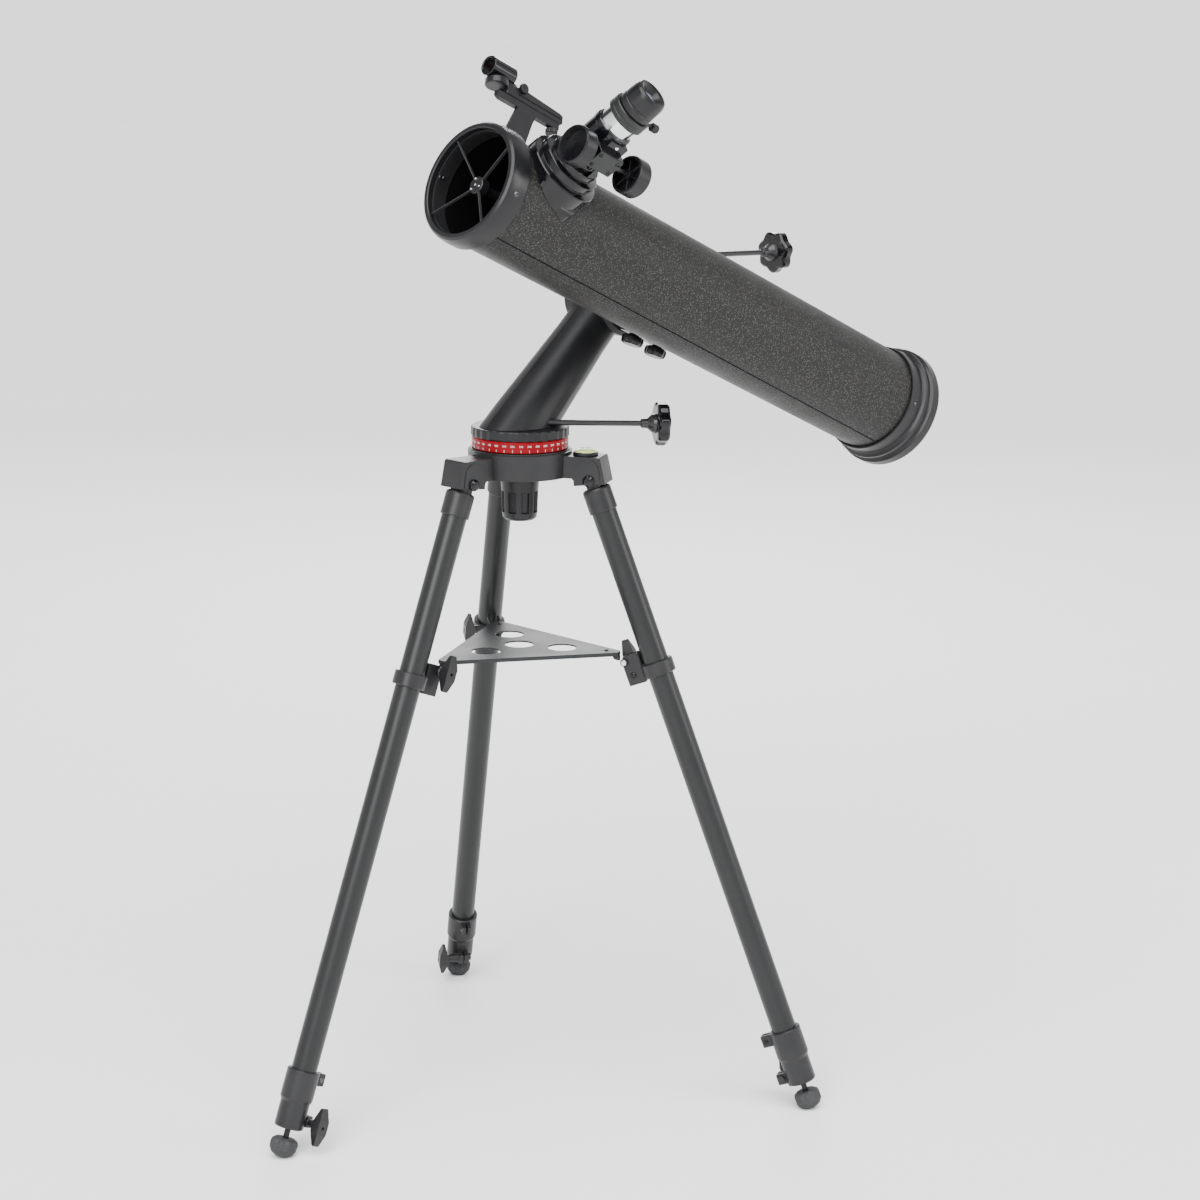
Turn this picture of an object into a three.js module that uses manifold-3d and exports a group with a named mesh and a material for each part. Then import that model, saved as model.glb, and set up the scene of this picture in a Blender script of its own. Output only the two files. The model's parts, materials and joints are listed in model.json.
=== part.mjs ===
// A 76 mm Newtonian reflector on a slanted single-arm alt-azimuth mount and a folding,
// telescoping tripod. Millimetres, +Z up. The tube points towards -X and is carried on the
// -Y side of the arm. Every piece is a closed solid of its own.
import * as THREE from 'three';
import Module from 'manifold-3d';
import { mergeVertices } from 'three/addons/utils/BufferGeometryUtils.js';

const wasm = await Module();
wasm.setup();

// ---- driving dimensions ----
const DEG = Math.PI / 180;
const GAP = 0.3; // between pieces that touch
const RUN = 0.4; // radial clearance of a sliding or turning fit

// tripod head
const HINGE_RADIUS = 76; // leg hinge bolts, from the head's axis
const HINGE_Z = 640;
const HUB_BOTTOM = 641.4;
const HUB_TOP = 668.2;
const HUB_R = 52.4;
const LUG_TOP = 663.6;
const LUG_WIDTH = 29.5;
const LUG_PAD = 0.8; // raised arch on each side of a lug
const DIAL_R = 48.4;
const DIAL_TOP = 680.1;
const TURNTABLE_R = 49.4;
const TURNTABLE_TOP = 690;
const SPIGOT_R = 14;
const AZIMUTH_WHEEL_R = 15.5;

// legs, measured along each leg from its hinge
const LEGS = { a: 181.7, b: -58.3, c: 61.7 }; // azimuths in degrees, with the head turned 1.7
const SPREAD = 20.5 * DEG;
const LEG_R = 12.7;
const LEG_WALL = 1.4;
const SLEEVE_R = 14.5;
const UPPER_LEG_END = 632.5;
const COLLAR_START = 595;
const COLLAR_END = 653;
const LOCK_AT = { x: -18.6, z: -645 }; // the leg lock's screw, in the leg's frame
const LOWER_LEG_R = 10.6;
const LOWER_LEG_START = 92;
const FOOT_START = 663.6;
const FOOT_HEIGHT = 19.4;

// accessory tray
const TRAY_BOTTOM = 461;
const TRAY_THICK = 4;
const TRAY_CORNER = 113; // sharp corner radius, before the corner is cut
const TRAY_CUT = 105.5;
const TRAY_HOLE_R = 15.1;
const TRAY_HOLE_RADIUS = 45.5;
const CLAMP_AT = 200.7; // tray clamp ring, along the leg
const TRAY_PIN = { x: -30.3, z: 15.3 }; // from the clamp ring's centre, in the leg's frame
const PIN_R = 2.3;
const WING_NECKS = { a: 4, b: 4, c: 14 }; // how far each wing bolt stands out of its clamp

// arm and altitude axis
const PIVOT = new THREE.Vector3(122.1, 0, 812.1);
const ARM_LEAN = 45 * DEG;
const HEAD_R = 40;
const HEAD_HALF = 31;
const ARM_WALL = 3;
const ALTITUDE = 24.2 * DEG; // how far the tube points up
const AXLE_R = 10;
const ALTITUDE_WHEEL_R = 31;
const JAW_DEPTH = 38.6; // the saddle's lower jaw, below the altitude axis
const SADDLE_KNOBS = [-6, 29]; // along the tube from the altitude axis

// slow-motion controls
const ROD_R = 2.9;
const WORM_R = 4.4;
const STAR_R = 22.5;
const STAR_THICK = 13;
const ALTITUDE_ROD = { height: 36.4, knob: 241, dip: 1.5 * DEG }; // above and behind the axis
const AZIMUTH_ROD = { offset: 20.4, z: 696, knob: 140, azimuth: -31.5 * DEG, dip: 1.6 * DEG };

// optical tube, measured along it from its front end
const TUBE_Y = -132;
const PIVOT_AT = 331;
const TUBE_R = 54.1;
const TUBE_WALL = 1.5;
const FRONT_RING_R = 59.1;
const FRONT_RING_LENGTH = 22;
const REAR_SEAM = 606.4;
const REAR_END = 646.6;
const REAR_R = 63.2;
const MIRROR_R = 38.5;
const SPIDER_AT = 14.5;
const SPIDER_REACH = 51.5; // along each vane, to just inside the front ring
const VANE_LEAN = 12.5 * DEG;

// focuser, measured outwards from the tube's axis
const FOCUSER_AT = 68;
const FOCUSER_ROLL = 47 * DEG;
const FOCUSER_BODY_R = 19.4;
const FOCUSER_BODY_TOP = 125;
const DRAWTUBE_R = 17.1;
const BARREL_R = 15.85; // standard 31.7 mm eyepiece barrel
const COLLAR_BOTTOM = 137.5;
const COLLAR_TOP = 148.5;
const PINION = { y: -21.5, h: 100.3 };
const FOCUS_KNOB_R = 18.5;
const FOCUS_KNOBS = [-31, 41.5]; // along the shaft from the focuser's axis

// finder
const FINDER_ROLL = -18 * DEG;
const SIGHT_H = 121;
const SIGHT_R = 9.7;
const SIGHT_START = 10.5;
const SIGHT_END = 41;

// ---- solids ----
function weld(geometry) {
  geometry.deleteAttribute('normal');
  geometry.deleteAttribute('uv');
  const merged = mergeVertices(geometry, 1e-3);
  const index = merged.index.array;
  const kept = [];
  for (let i = 0; i < index.length; i += 3) {
    const [a, b, c] = index.slice(i, i + 3);
    if (a !== b && b !== c && c !== a) kept.push(a, b, c);
  }
  merged.setIndex(kept);
  return merged;
}

function toSolid(geometry) {
  const merged = weld(geometry.clone());
  const triVerts = new Uint32Array(merged.index.array);
  const vertProperties = merged.attributes.position.array;
  const solid = new wasm.Manifold(new wasm.Mesh({ numProp: 3, vertProperties, triVerts }));
  if (solid.volume() > 0) return solid;
  const turned = triVerts.slice();
  for (let i = 0; i < turned.length; i += 3) {
    turned[i + 1] = triVerts[i + 2];
    turned[i + 2] = triVerts[i + 1];
  }
  return new wasm.Manifold(new wasm.Mesh({ numProp: 3, vertProperties, triVerts: turned }));
}

function toGeometry(solid) {
  const mesh = solid.getMesh();
  const geometry = new THREE.BufferGeometry();
  const positions = new Float32Array(mesh.numVert * 3);
  for (let i = 0; i < mesh.numVert; i += 1) {
    positions.set(mesh.vertProperties.subarray(i * mesh.numProp, i * mesh.numProp + 3), i * 3);
  }
  geometry.setAttribute('position', new THREE.BufferAttribute(positions, 3));
  geometry.setIndex(new THREE.BufferAttribute(new Uint32Array(mesh.triVerts), 1));
  return geometry;
}

function join(first, ...others) {
  return toGeometry(others.reduce((sum, other) => sum.add(toSolid(other)), toSolid(first)));
}

function cut(body, ...tools) {
  return toGeometry(tools.reduce((rest, tool) => rest.subtract(toSolid(tool)), toSolid(body)));
}

function common(first, second) {
  return toGeometry(toSolid(first).intersect(toSolid(second)));
}

// Turns a profile of [radius, z] points about the Z axis.
function turned(profile, segments = 16) {
  const points = profile.map(([r, z]) => new THREE.Vector2(r, z));
  return new THREE.LatheGeometry(points, segments).rotateX(Math.PI / 2);
}

function rod(radius, from, to, segments = 12) {
  return turned([[0, from], [radius, from], [radius, to], [0, to]], segments);
}

function ring(inner, outer, from, to, segments = 16) {
  return turned(
    [[inner, from], [outer, from], [outer, to], [inner, to], [inner, from]],
    segments,
  );
}

const alongX = (geometry) => geometry.rotateY(Math.PI / 2);
const alongY = (geometry) => geometry.rotateX(-Math.PI / 2);

function shapeOf(outline) {
  return new THREE.Shape(outline.map(([x, y]) => new THREE.Vector2(x, y)));
}

// A plate in the XY plane, from z = 0 up.
function plate(shape, thickness, curveSegments = 8) {
  const settings = { depth: thickness, bevelEnabled: false, curveSegments };
  return new THREE.ExtrudeGeometry(shape, settings);
}

// A plate whose outline is in the XZ plane, from y = from to y = to.
function slab(outline, from, to) {
  return plate(shapeOf(outline), to - from).rotateX(Math.PI / 2).translate(0, to, 0);
}

// A bar whose section is in the YZ plane, from x = from to x = to.
function bar(section, from, to) {
  const turnedSection = section.map(([y, z]) => [-z, y]);
  return plate(shapeOf(turnedSection), to - from).rotateY(Math.PI / 2).translate(from, 0, 0);
}

function block(x0, x1, y0, y1, z0, z1) {
  const box = new THREE.BoxGeometry(x1 - x0, y1 - y0, z1 - z0);
  return box.translate((x0 + x1) / 2, (y0 + y1) / 2, (z0 + z1) / 2);
}

// A closed outline whose radius swings between outer and outer - depth.
function lobedOutline(lobes, outer, depth, steps) {
  const outline = [];
  for (let i = 0; i < lobes * steps; i += 1) {
    const angle = (i / (lobes * steps)) * 2 * Math.PI;
    const radius = outer - depth * (0.5 - 0.5 * Math.cos(lobes * angle));
    outline.push([radius * Math.cos(angle), radius * Math.sin(angle)]);
  }
  return outline;
}

// ---- finishes ----
const FINISHES = {
  castBlack: { color: 0x2b2c2e, roughness: 0.55, metalness: 0.1 },
  tubeBlack: { color: 0x232425, roughness: 0.6, metalness: 0.1 },
  legBlack: { color: 0x2a2c2d, roughness: 0.42, metalness: 0.35 },
  gloss: { color: 0x0c0c0d, roughness: 0.12, metalness: 0.0 },
  trayGrey: { color: 0x3b3d40, roughness: 0.5, metalness: 0.2 },
  rubber: { color: 0x2d2e2e, roughness: 0.85, metalness: 0.0 },
  red: { color: 0xb3122a, roughness: 0.35, metalness: 0.2 },
  chrome: { color: 0xd5d7d9, roughness: 0.12, metalness: 1.0 },
  steel: { color: 0x6c6e70, roughness: 0.35, metalness: 0.9 },
  mirror: { color: 0xe8ecef, roughness: 0.03, metalness: 1.0 },
  vial: { color: 0xb9cf6a, roughness: 0.15, metalness: 0.0 },
};

function piece(parent, name, geometry, finish) {
  const material = new THREE.MeshStandardMaterial(FINISHES[finish]);
  const mesh = new THREE.Mesh(toGeometry(toSolid(geometry)), material);
  mesh.name = name;
  parent.add(mesh);
  return mesh;
}

function frameIn(parent, position, { x = 0, y = 0, z = 0 } = {}) {
  const group = new THREE.Group();
  group.position.set(...position);
  group.rotation.set(x, y, z, 'ZYX');
  parent.add(group);
  return group;
}

// ---- tripod head ----
function lug() {
  const outline = [
    [36, LUG_TOP], [86, LUG_TOP], [87.5, LUG_TOP - 1.5], [92.8, 637.6],
    [60.5, 634], [60, 639.4], [58, HUB_BOTTOM], [36, HUB_BOTTOM],
  ];
  const pocket = [[63, 620], [93.4, 620], [90.2, 634], [84.6, 657], [63, 657]];
  const arch = [[62.2, 635.4], [87.6, 638.2]];
  for (let i = 0; i <= 6; i += 1) {
    const angle = (i / 6) * Math.PI;
    arch.push([74.4 + 12.2 * Math.cos(angle), 649 + 12.2 * Math.sin(angle)]);
  }
  const half = LUG_WIDTH / 2;
  const walls = join(slab(outline, -half, half), slab(arch, -half - LUG_PAD, half + LUG_PAD));
  const bore = alongY(rod(3.4, -half - 3, half + 3, 10)).translate(HINGE_RADIUS, 0, HINGE_Z);
  return { walls, tools: [slab(pocket, -10, 10), bore] };
}

function hub() {
  let body = turned([
    [0, 662], [4.6, 662], [4.6, HUB_BOTTOM], [HUB_R - 0.6, HUB_BOTTOM], [HUB_R, 666.4],
    [50.6, 667], [50.6, HUB_TOP],
    [41.6, HUB_TOP], [41.6, DIAL_TOP - GAP], [SPIGOT_R, DIAL_TOP - GAP], [SPIGOT_R, 691.6],
    [AZIMUTH_WHEEL_R, 691.6], [AZIMUTH_WHEEL_R, 700.4], [0, 700.4],
  ], 28);
  for (const azimuth of Object.values(LEGS)) {
    const { walls, tools } = lug();
    body = join(body, walls.rotateZ(azimuth * DEG));
    body = cut(body, ...tools.map((tool) => tool.rotateZ(azimuth * DEG)));
  }
  return body;
}

function hubKnob() {
  const flutes = plate(shapeOf(lobedOutline(8, 20, 1.8, 4)), 45).translate(0, 0, 596);
  const top = HUB_BOTTOM - GAP;
  const taper = turned([[0, 595], [16.4, 596], [18, 599], [19.9, top], [0, top]]);
  return join(common(flutes, taper), rod(4, 630, 660));
}

function bubbleLevel() {
  const base = LUG_TOP + GAP;
  return turned([[0, base], [12.6, base], [12.6, base + 3], [10, base + 6], [0, base + 6.8]])
    .translate(68.4, 0, 0);
}

function hingeBolt() {
  const seat = LUG_WIDTH / 2 + LUG_PAD + GAP;
  return alongY(turned([
    [0, -seat - 3.4], [5, -seat - 1], [5, -seat], [3, -seat],
    [3, seat], [5, seat], [5, seat + 1], [0, seat + 3.4],
  ], 10));
}

// ---- one leg, in a frame at its hinge with Z up along the leg and X outwards ----
function legSocket() {
  const sleeve = turned([
    [0, -9], [12.6, -9], [SLEEVE_R, -11.4], [SLEEVE_R, -34],
    [LEG_R + GAP, -34], [LEG_R + GAP, -15.5], [0, -15.5],
  ]);
  const eye = alongY(rod(6.5, -9.5, 9.5, 10));
  const tongue = slab([[-6.5, -12], [6.5, -12], [6.5, 0], [-6.5, 0]], -9.5, 9.5);
  return cut(join(sleeve, eye, tongue), alongY(rod(3.4, -12, 12, 10)));
}

function upperLeg() {
  return ring(LEG_R - LEG_WALL, LEG_R, -UPPER_LEG_END, -16);
}

function trayClamp() {
  const ear = [
    [-33, -10], [-33, 17], [-30, 21], [-14.5, 21], [-14.5, 7], [-11, 7], [-11, -7], [-14.5, -10],
  ];
  const body = join(ring(LEG_R - 1, 16.5, -7, 7), slab(ear, -6.5, -4), slab(ear, 4, 6.5));
  return cut(
    body,
    rod(LEG_R + GAP, -30, 30, 16),
    block(-20, -11, -1.2, 1.2, -8, 8),
    alongY(rod(PIN_R + GAP, -9, 9)).translate(TRAY_PIN.x, 0, TRAY_PIN.z),
    alongY(rod(PIN_R, -9, 9, 8)).translate(-25.6, 0, 0),
  );
}

// A wing handle on a screw along Y, its wings along Z.
function wingScrew(nutAt, headAt, neck, length) {
  const near = headAt + neck;
  const far = near + 13;
  const half = length / 2;
  const side = [
    [-4, near], [4, near], [half - 2, near + 5], [half, near + 9],
    [8, far], [-8, far], [-half, near + 9], [2 - half, near + 5],
  ];
  const front = [
    [-3.4, -half], [3.4, -half], [6.5, -6], [6.5, 6], [3.4, half], [-3.4, half], [-6.5, 6], [-6.5, -6],
  ];
  const wings = common(
    bar(side.map(([z, y]) => [y, z]), -10, 10),
    slab(front, near - 1, far + 1),
  );
  const screw = alongY(turned([
    [0, nutAt - 2.8], [3.8, nutAt - 2.8], [3.8, nutAt], [PIN_R, nutAt], [PIN_R, headAt],
    [5, headAt], [5, near + 2], [0, near + 2],
  ], 10));
  return join(wings, screw);
}

function lockCollar() {
  const inner = LEG_R + GAP;
  const sleeve = turned([
    [inner, -COLLAR_START], [16.3, -COLLAR_START], [16.3, -624], [SLEEVE_R, -627],
    [SLEEVE_R, -COLLAR_END], [LOWER_LEG_R + RUN, -COLLAR_END],
    [LOWER_LEG_R + RUN, -UPPER_LEG_END - GAP], [inner, -UPPER_LEG_END - GAP], [inner, -COLLAR_START],
  ]);
  const ears = [block(-26, -14, -5, 5, -609, -596.5), block(-23.5, -12, -5.5, 5.5, -650.8, -639.3)];
  return cut(
    join(sleeve, ...ears),
    rod(inner, -UPPER_LEG_END - GAP, -580, 16),
    rod(LOWER_LEG_R + RUN, -660, -600, 16),
    block(-27, -11, -1, 1, -611, -580),
    alongY(rod(PIN_R + GAP, -9, 9)).translate(LOCK_AT.x, 0, LOCK_AT.z),
  );
}

function lowerLeg() {
  const plug = COLLAR_END - 1.5;
  return turned([
    [0, -FOOT_START - 5.5], [3, -FOOT_START - 5.5], [3, -plug], [LOWER_LEG_R, -plug],
    [LOWER_LEG_R, -LOWER_LEG_START], [LOWER_LEG_R - 1.3, -LOWER_LEG_START],
    [LOWER_LEG_R - 1.3, 8 - plug], [0, 8 - plug],
  ]);
}

function foot() {
  return turned([
    [0, -6], [3.4, -6], [3.4, 0], [9.5, 0], [13.5, -5], [12.9, -11],
    [8.6, -16.5], [0, -FOOT_HEIGHT],
  ]).translate(0, 0, -FOOT_START);
}

// ---- tray ----
function trianglePoints(cornerRadius, cutRadius) {
  const points = [];
  const half = (cornerRadius - cutRadius) * Math.tan(30 * DEG);
  for (const azimuth of [LEGS.b, LEGS.c, LEGS.a]) {
    for (const side of [-1, 1]) {
      const corner = new THREE.Vector2(cutRadius, side * half);
      corner.rotateAround(new THREE.Vector2(), azimuth * DEG);
      points.push([corner.x, corner.y]);
    }
  }
  return points;
}

function tray() {
  const shape = shapeOf(trianglePoints(TRAY_CORNER, TRAY_CUT));
  const centres = [[0, 0]];
  for (const azimuth of Object.values(LEGS)) {
    const angle = azimuth * DEG;
    centres.push([TRAY_HOLE_RADIUS * Math.cos(angle), TRAY_HOLE_RADIUS * Math.sin(angle)]);
  }
  for (const [x, y] of centres) {
    const hole = new THREE.Path();
    hole.absarc(x, y, TRAY_HOLE_R, 0, 2 * Math.PI, true);
    shape.holes.push(hole);
  }
  const under = shapeOf(trianglePoints(TRAY_CORNER - 3.6, TRAY_CUT - 11));
  const pan = cut(plate(shape, TRAY_THICK), plate(under, 2.4).translate(0, 0, -0.01));
  const pinRadius = HINGE_RADIUS + (CLAMP_AT - TRAY_PIN.z) * Math.sin(SPREAD)
    + TRAY_PIN.x * Math.cos(SPREAD);
  const pinZ = HINGE_Z - (CLAMP_AT - TRAY_PIN.z) * Math.cos(SPREAD)
    + TRAY_PIN.x * Math.sin(SPREAD) - TRAY_BOTTOM;
  const hingeTab = cut(
    join(
      slab(
        [[98, 0.5], [106, 0.5], [pinRadius + 3, pinZ + 3], [pinRadius, pinZ - 4.6], [103, pinZ]],
        -3.4, 3.4,
      ),
      alongY(rod(4.8, -3.4, 3.4)).translate(pinRadius, 0, pinZ),
    ),
    alongY(rod(PIN_R + GAP, -9, 9)).translate(pinRadius, 0, pinZ),
  );
  const freeTab = slab([[98, 0.5], [105, 0.5], [106, -1], [106, -5], [101, -4]], -2.6, 2.6);
  return join(
    pan,
    hingeTab.rotateZ(LEGS.c * DEG),
    freeTab.clone().rotateZ(LEGS.a * DEG),
    freeTab.rotateZ(LEGS.b * DEG),
  ).translate(0, 0, TRAY_BOTTOM);
}

// ---- mount ----
function dial() {
  return ring(41.6 + RUN, DIAL_R, HUB_TOP + GAP, DIAL_TOP, 28);
}

function turntable() {
  const shape = shapeOf(lobedOutline(30, TURNTABLE_R, 0.9, 2));
  const bore = new THREE.Path();
  bore.absarc(0, 0, 16.4, 0, 2 * Math.PI, true);
  shape.holes.push(bore);
  return plate(shape, TURNTABLE_TOP - DIAL_TOP - GAP).translate(0, 0, DIAL_TOP + GAP);
}

// The arm as a tapered oval column with a round head, grown inwards by inset.
function armBody(inset) {
  const profile = [
    [0, -45], [34.6 - inset, -45], [33.6 - inset, 0], [27.4 - inset, 115], [26.6 - inset, 172], [0, 172],
  ];
  const column = turned(profile, 24).scale(0.95, 1, 1).rotateY(ARM_LEAN);
  const r = HEAD_R - inset;
  const half = HEAD_HALF - inset;
  const head = alongY(turned([
    [0, -half], [r - 4, -half], [r, 4 - half], [r, half - 4], [r - 4, half], [0, half],
  ], 24));
  const channel = alongX(rod(10 - inset, inset - 24, 52 - 2 * inset));
  channel.rotateY(ALTITUDE_ROD.dip).translate(0, 0, ALTITUDE_ROD.height);
  return join(
    column.translate(0, 0, TURNTABLE_TOP),
    head.translate(...PIVOT),
    channel.translate(...PIVOT),
  );
}

function azimuthRodFrame(geometry) {
  const { offset, z, azimuth, dip } = AZIMUTH_ROD;
  return geometry.rotateY(dip).translate(0, -offset, z).rotateZ(azimuth);
}

function armShell(side) {
  const from = side < 0 ? -60 : GAP / 2;
  const to = side < 0 ? -GAP / 2 : 60;
  const half = common(armBody(0), block(-80, 200, from, to, TURNTABLE_TOP + GAP, 900));
  const axleBore = side < 0 ? AXLE_R + RUN : 6 + RUN;
  const tools = [
    armBody(ARM_WALL),
    alongY(rod(axleBore, 0, 60, 20)).translate(0, side < 0 ? -60 : 0, 0).translate(...PIVOT),
    alongX(rod(ROD_R + RUN, 0, 90)).rotateY(ALTITUDE_ROD.dip)
      .translate(0, 0, ALTITUDE_ROD.height).translate(...PIVOT),
  ];
  if (side < 0) tools.push(azimuthRodFrame(alongX(rod(ROD_R + RUN, 0, 90))));
  return cut(half, ...tools);
}

// A star knob and its rod with a worm on it, along X; the worm is at x = 0.
function slowMotion(knobAt) {
  const near = knobAt - STAR_THICK / 2;
  const star = alongX(plate(shapeOf(lobedOutline(7, STAR_R, 3.6, 5)), STAR_THICK)).translate(near, 0, 0);
  const stem = alongX(turned([
    [0, -13], [WORM_R, -13], [WORM_R, 13], [ROD_R, 13], [ROD_R, near - 14], [4.6, near - 14],
    [9.5, near - 4], [11, near + 1], [0, near + 1],
  ], 12));
  return join(star, stem);
}

function altitudeWheel() {
  return alongY(turned([
    [0, -42], [26, -42], [26, -HEAD_HALF - 1], [AXLE_R, -HEAD_HALF - 1], [AXLE_R, -6],
    [ALTITUDE_WHEEL_R, -6], [ALTITUDE_WHEEL_R, 6], [6, 6], [6, HEAD_HALF + GAP],
    [11, HEAD_HALF + GAP], [11, HEAD_HALF + 3], [0, HEAD_HALF + 3.6],
  ], 20));
}

// The saddle, its clamp knobs and the dovetail, in the tube's frame: X along the tube
// towards the rear and Z square to it, from the altitude axis.
function saddle() {
  const section = [
    [-42.3, -33], [-42.3, 30], [-44, 32], [-66, 32], [-68, 30], [-68, 23.2], [-64, 21.4],
    [-52, 25.4], [-52, -25.4], [-64, -21.4], [-68, -23.2], [-68, -36.5], [-66, -JAW_DEPTH],
    [-49, -JAW_DEPTH],
  ];
  const body = bar(section, -98, 44);
  const screws = SADDLE_KNOBS.map((x) => rod(2.6 + GAP, -50, -15).translate(x, -58, 0));
  const relief = block(-99, -18, -70, -40, -45, -34.5);
  return cut(body, relief, ...screws);
}

function saddleKnob() {
  const grip = plate(shapeOf(lobedOutline(8, 11.4, 1.2, 3)), 9.6).translate(0, 0, -JAW_DEPTH - 11.6);
  return join(grip, rod(4.6, -JAW_DEPTH - 4, -JAW_DEPTH - GAP), rod(2.6, -JAW_DEPTH - 3, -25.9));
}

function dovetail() {
  const barSection = [[-52.4, -24.8], [-52.4, 24.8], [-63.6, 21], [-70, 21], [-70, -21], [-63.6, -21]];
  const pad = block(-70, 55, -86, -69, -17, 17);
  const body = join(bar(barSection, -92, 72), pad);
  return cut(body, alongX(rod(TUBE_R + GAP, -200, 200, 48)).translate(0, TUBE_Y, 0));
}

// ---- optical tube, in a frame on its axis with X = 0 at its front end ----
function mainTube() {
  const wall = alongX(ring(TUBE_R - TUBE_WALL, TUBE_R, 6.5, REAR_SEAM + 9, 32));
  const port = rod(20.5, 30, 80, 20).rotateX(FOCUSER_ROLL).translate(FOCUSER_AT, 0, 0);
  return cut(wall, port);
}

function frontRing() {
  return alongX(turned([
    [51, 0.6], [52, 0], [55.4, 0], [57.4, 2.2], [58.6, 7], [FRONT_RING_R, 13],
    [FRONT_RING_R, FRONT_RING_LENGTH],
    [TUBE_R + GAP, FRONT_RING_LENGTH], [TUBE_R + GAP, 6.2], [51, 6.2], [51, 0.6],
  ], 32));
}

function spider() {
  let body = alongX(rod(8.5, SPIDER_AT - 3, SPIDER_AT + 6, 16));
  for (let i = 0; i < 4; i += 1) {
    const vane = block(-1.6, 1.6, -0.7, 0.7, 4, SPIDER_REACH).rotateY(-VANE_LEAN);
    body = join(body, vane.translate(SPIDER_AT, 0, 0).rotateX(FOCUSER_ROLL + i * 90 * DEG));
  }
  return body;
}

// The secondary mirror: a cylinder cut at 45 degrees, facing the focuser.
function secondary() {
  const holder = alongX(rod(12.5, -18, 16, 20)).translate(FOCUSER_AT, 0, 0);
  const stalk = alongX(rod(4, SPIDER_AT + 6 + GAP, FOCUSER_AT - 10, 16));
  const away = block(-60, 60, -60, 60, 0, 80).rotateY(45 * DEG).translate(FOCUSER_AT, 0, 0);
  const faced = cut(holder, away.rotateX(FOCUSER_ROLL));
  return join(faced, stalk);
}

function rearCell() {
  return alongX(turned([
    [TUBE_R + GAP, REAR_SEAM], [57, REAR_SEAM], [57, 622], [61, 624], [60, 631], [REAR_R, 633],
    [REAR_R, 643.5], [60, REAR_END], [0, REAR_END], [0, 638], [50, 638], [50, REAR_SEAM + 9.4],
    [TUBE_R + GAP, REAR_SEAM + 9.4], [TUBE_R + GAP, REAR_SEAM],
  ], 32));
}

function primaryMirror() {
  return alongX(turned([
    [0, 627.5], [20, 627], [MIRROR_R - 1, 626], [MIRROR_R, 627], [MIRROR_R, 636],
    [MIRROR_R + 4, 636], [MIRROR_R + 4, 637.7], [0, 637.7],
  ]));
}

// ---- focuser, in a frame on the tube's axis with Z out along the focuser ----
function focuserBase() {
  const outline = [[-32, -24], [8, -44], [37, -21], [37, 22], [0, 39], [-32, 22]];
  const wrap = common(
    alongX(ring(TUBE_R + GAP, 59.6, -37, 37, 48)),
    plate(shapeOf(outline), 75).translate(0, 0, 5),
  );
  const steps = turned([
    [0, 40], [37.6, 40], [37.6, 61], [32, 62.6], [31, 69.6], [26, 71], [25, 78.7], [0, 78.7],
  ], 24);
  return cut(
    join(steps, wrap),
    alongX(rod(TUBE_R + GAP, -60, 60, 48)),
    rod(DRAWTUBE_R + RUN, 20, 90, 24),
  );
}

function focuserBody() {
  const housing = block(-15, 15, -29, -12, 91.5, 112.5);
  const boss = block(-9, 13, -22, -12, 110, FOCUSER_BODY_TOP - 3);
  const sleeve = rod(FOCUSER_BODY_R, 79, FOCUSER_BODY_TOP, 24);
  return cut(
    join(sleeve, housing, boss),
    rod(DRAWTUBE_R + RUN, 70, 130, 24),
    alongX(rod(PIN_R + GAP, -30, 30, 16)).translate(0, PINION.y, PINION.h),
    alongX(rod(4.1, -9, 9)).translate(0, PINION.y, PINION.h),
  );
}

function drawtube() {
  const screwHole = alongX(rod(1.6 + GAP, 0, 40, 12)).translate(0, 0, (COLLAR_BOTTOM + COLLAR_TOP) / 2);
  const tube = turned([
    [BARREL_R + GAP, 58], [DRAWTUBE_R, 58], [DRAWTUBE_R, COLLAR_BOTTOM], [20, COLLAR_BOTTOM],
    [20, COLLAR_TOP], [BARREL_R + GAP, COLLAR_TOP], [BARREL_R + GAP, 58],
  ], 20);
  return cut(tube, screwHole);
}

function eyepiece() {
  return turned([
    [14.2, 118], [BARREL_R, 118], [BARREL_R, COLLAR_TOP + GAP], [17.4, COLLAR_TOP + GAP],
    [17.8, 152], [17.2, 168], [15.2, 173], [9, 171.6], [6.5, 167.5], [0, 167], [0, 156],
    [14.2, 156], [14.2, 118],
  ], 20);
}

function eyepieceScrew() {
  const tip = BARREL_R + GAP + 0.2;
  return alongX(turned([
    [0, tip], [1.6, tip], [1.6, 30], [4.2, 30], [4.2, 36.6], [3.4, 37.6], [0, 37.6],
  ], 14)).translate(0, 0, (COLLAR_BOTTOM + COLLAR_TOP) / 2);
}

function pinionShaft() {
  return alongX(turned([
    [0, -33.5], [PIN_R, -33.5], [PIN_R, -8.5], [3.4, -8.5], [3.4, 8.5], [PIN_R, 8.5],
    [PIN_R, 44], [0, 44],
  ], 20)).translate(0, PINION.y, PINION.h);
}

// A focus knob with a dished outer face and a hollow inner side, at a place along the shaft.
function focusKnob(place) {
  const r = FOCUS_KNOB_R;
  const knob = turned([
    [PIN_R + GAP, -7.5], [4.6, -7.5], [4.6, 1], [15.6, 1], [15.6, -7.5], [r, -6.8], [r, 6.8],
    [15.8, 7.5], [14.6, 4.6], [PIN_R + GAP, 3.8], [PIN_R + GAP, -7.5],
  ], 20);
  return alongX(knob).scale(Math.sign(place), 1, 1).translate(place, PINION.y, PINION.h);
}

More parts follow.
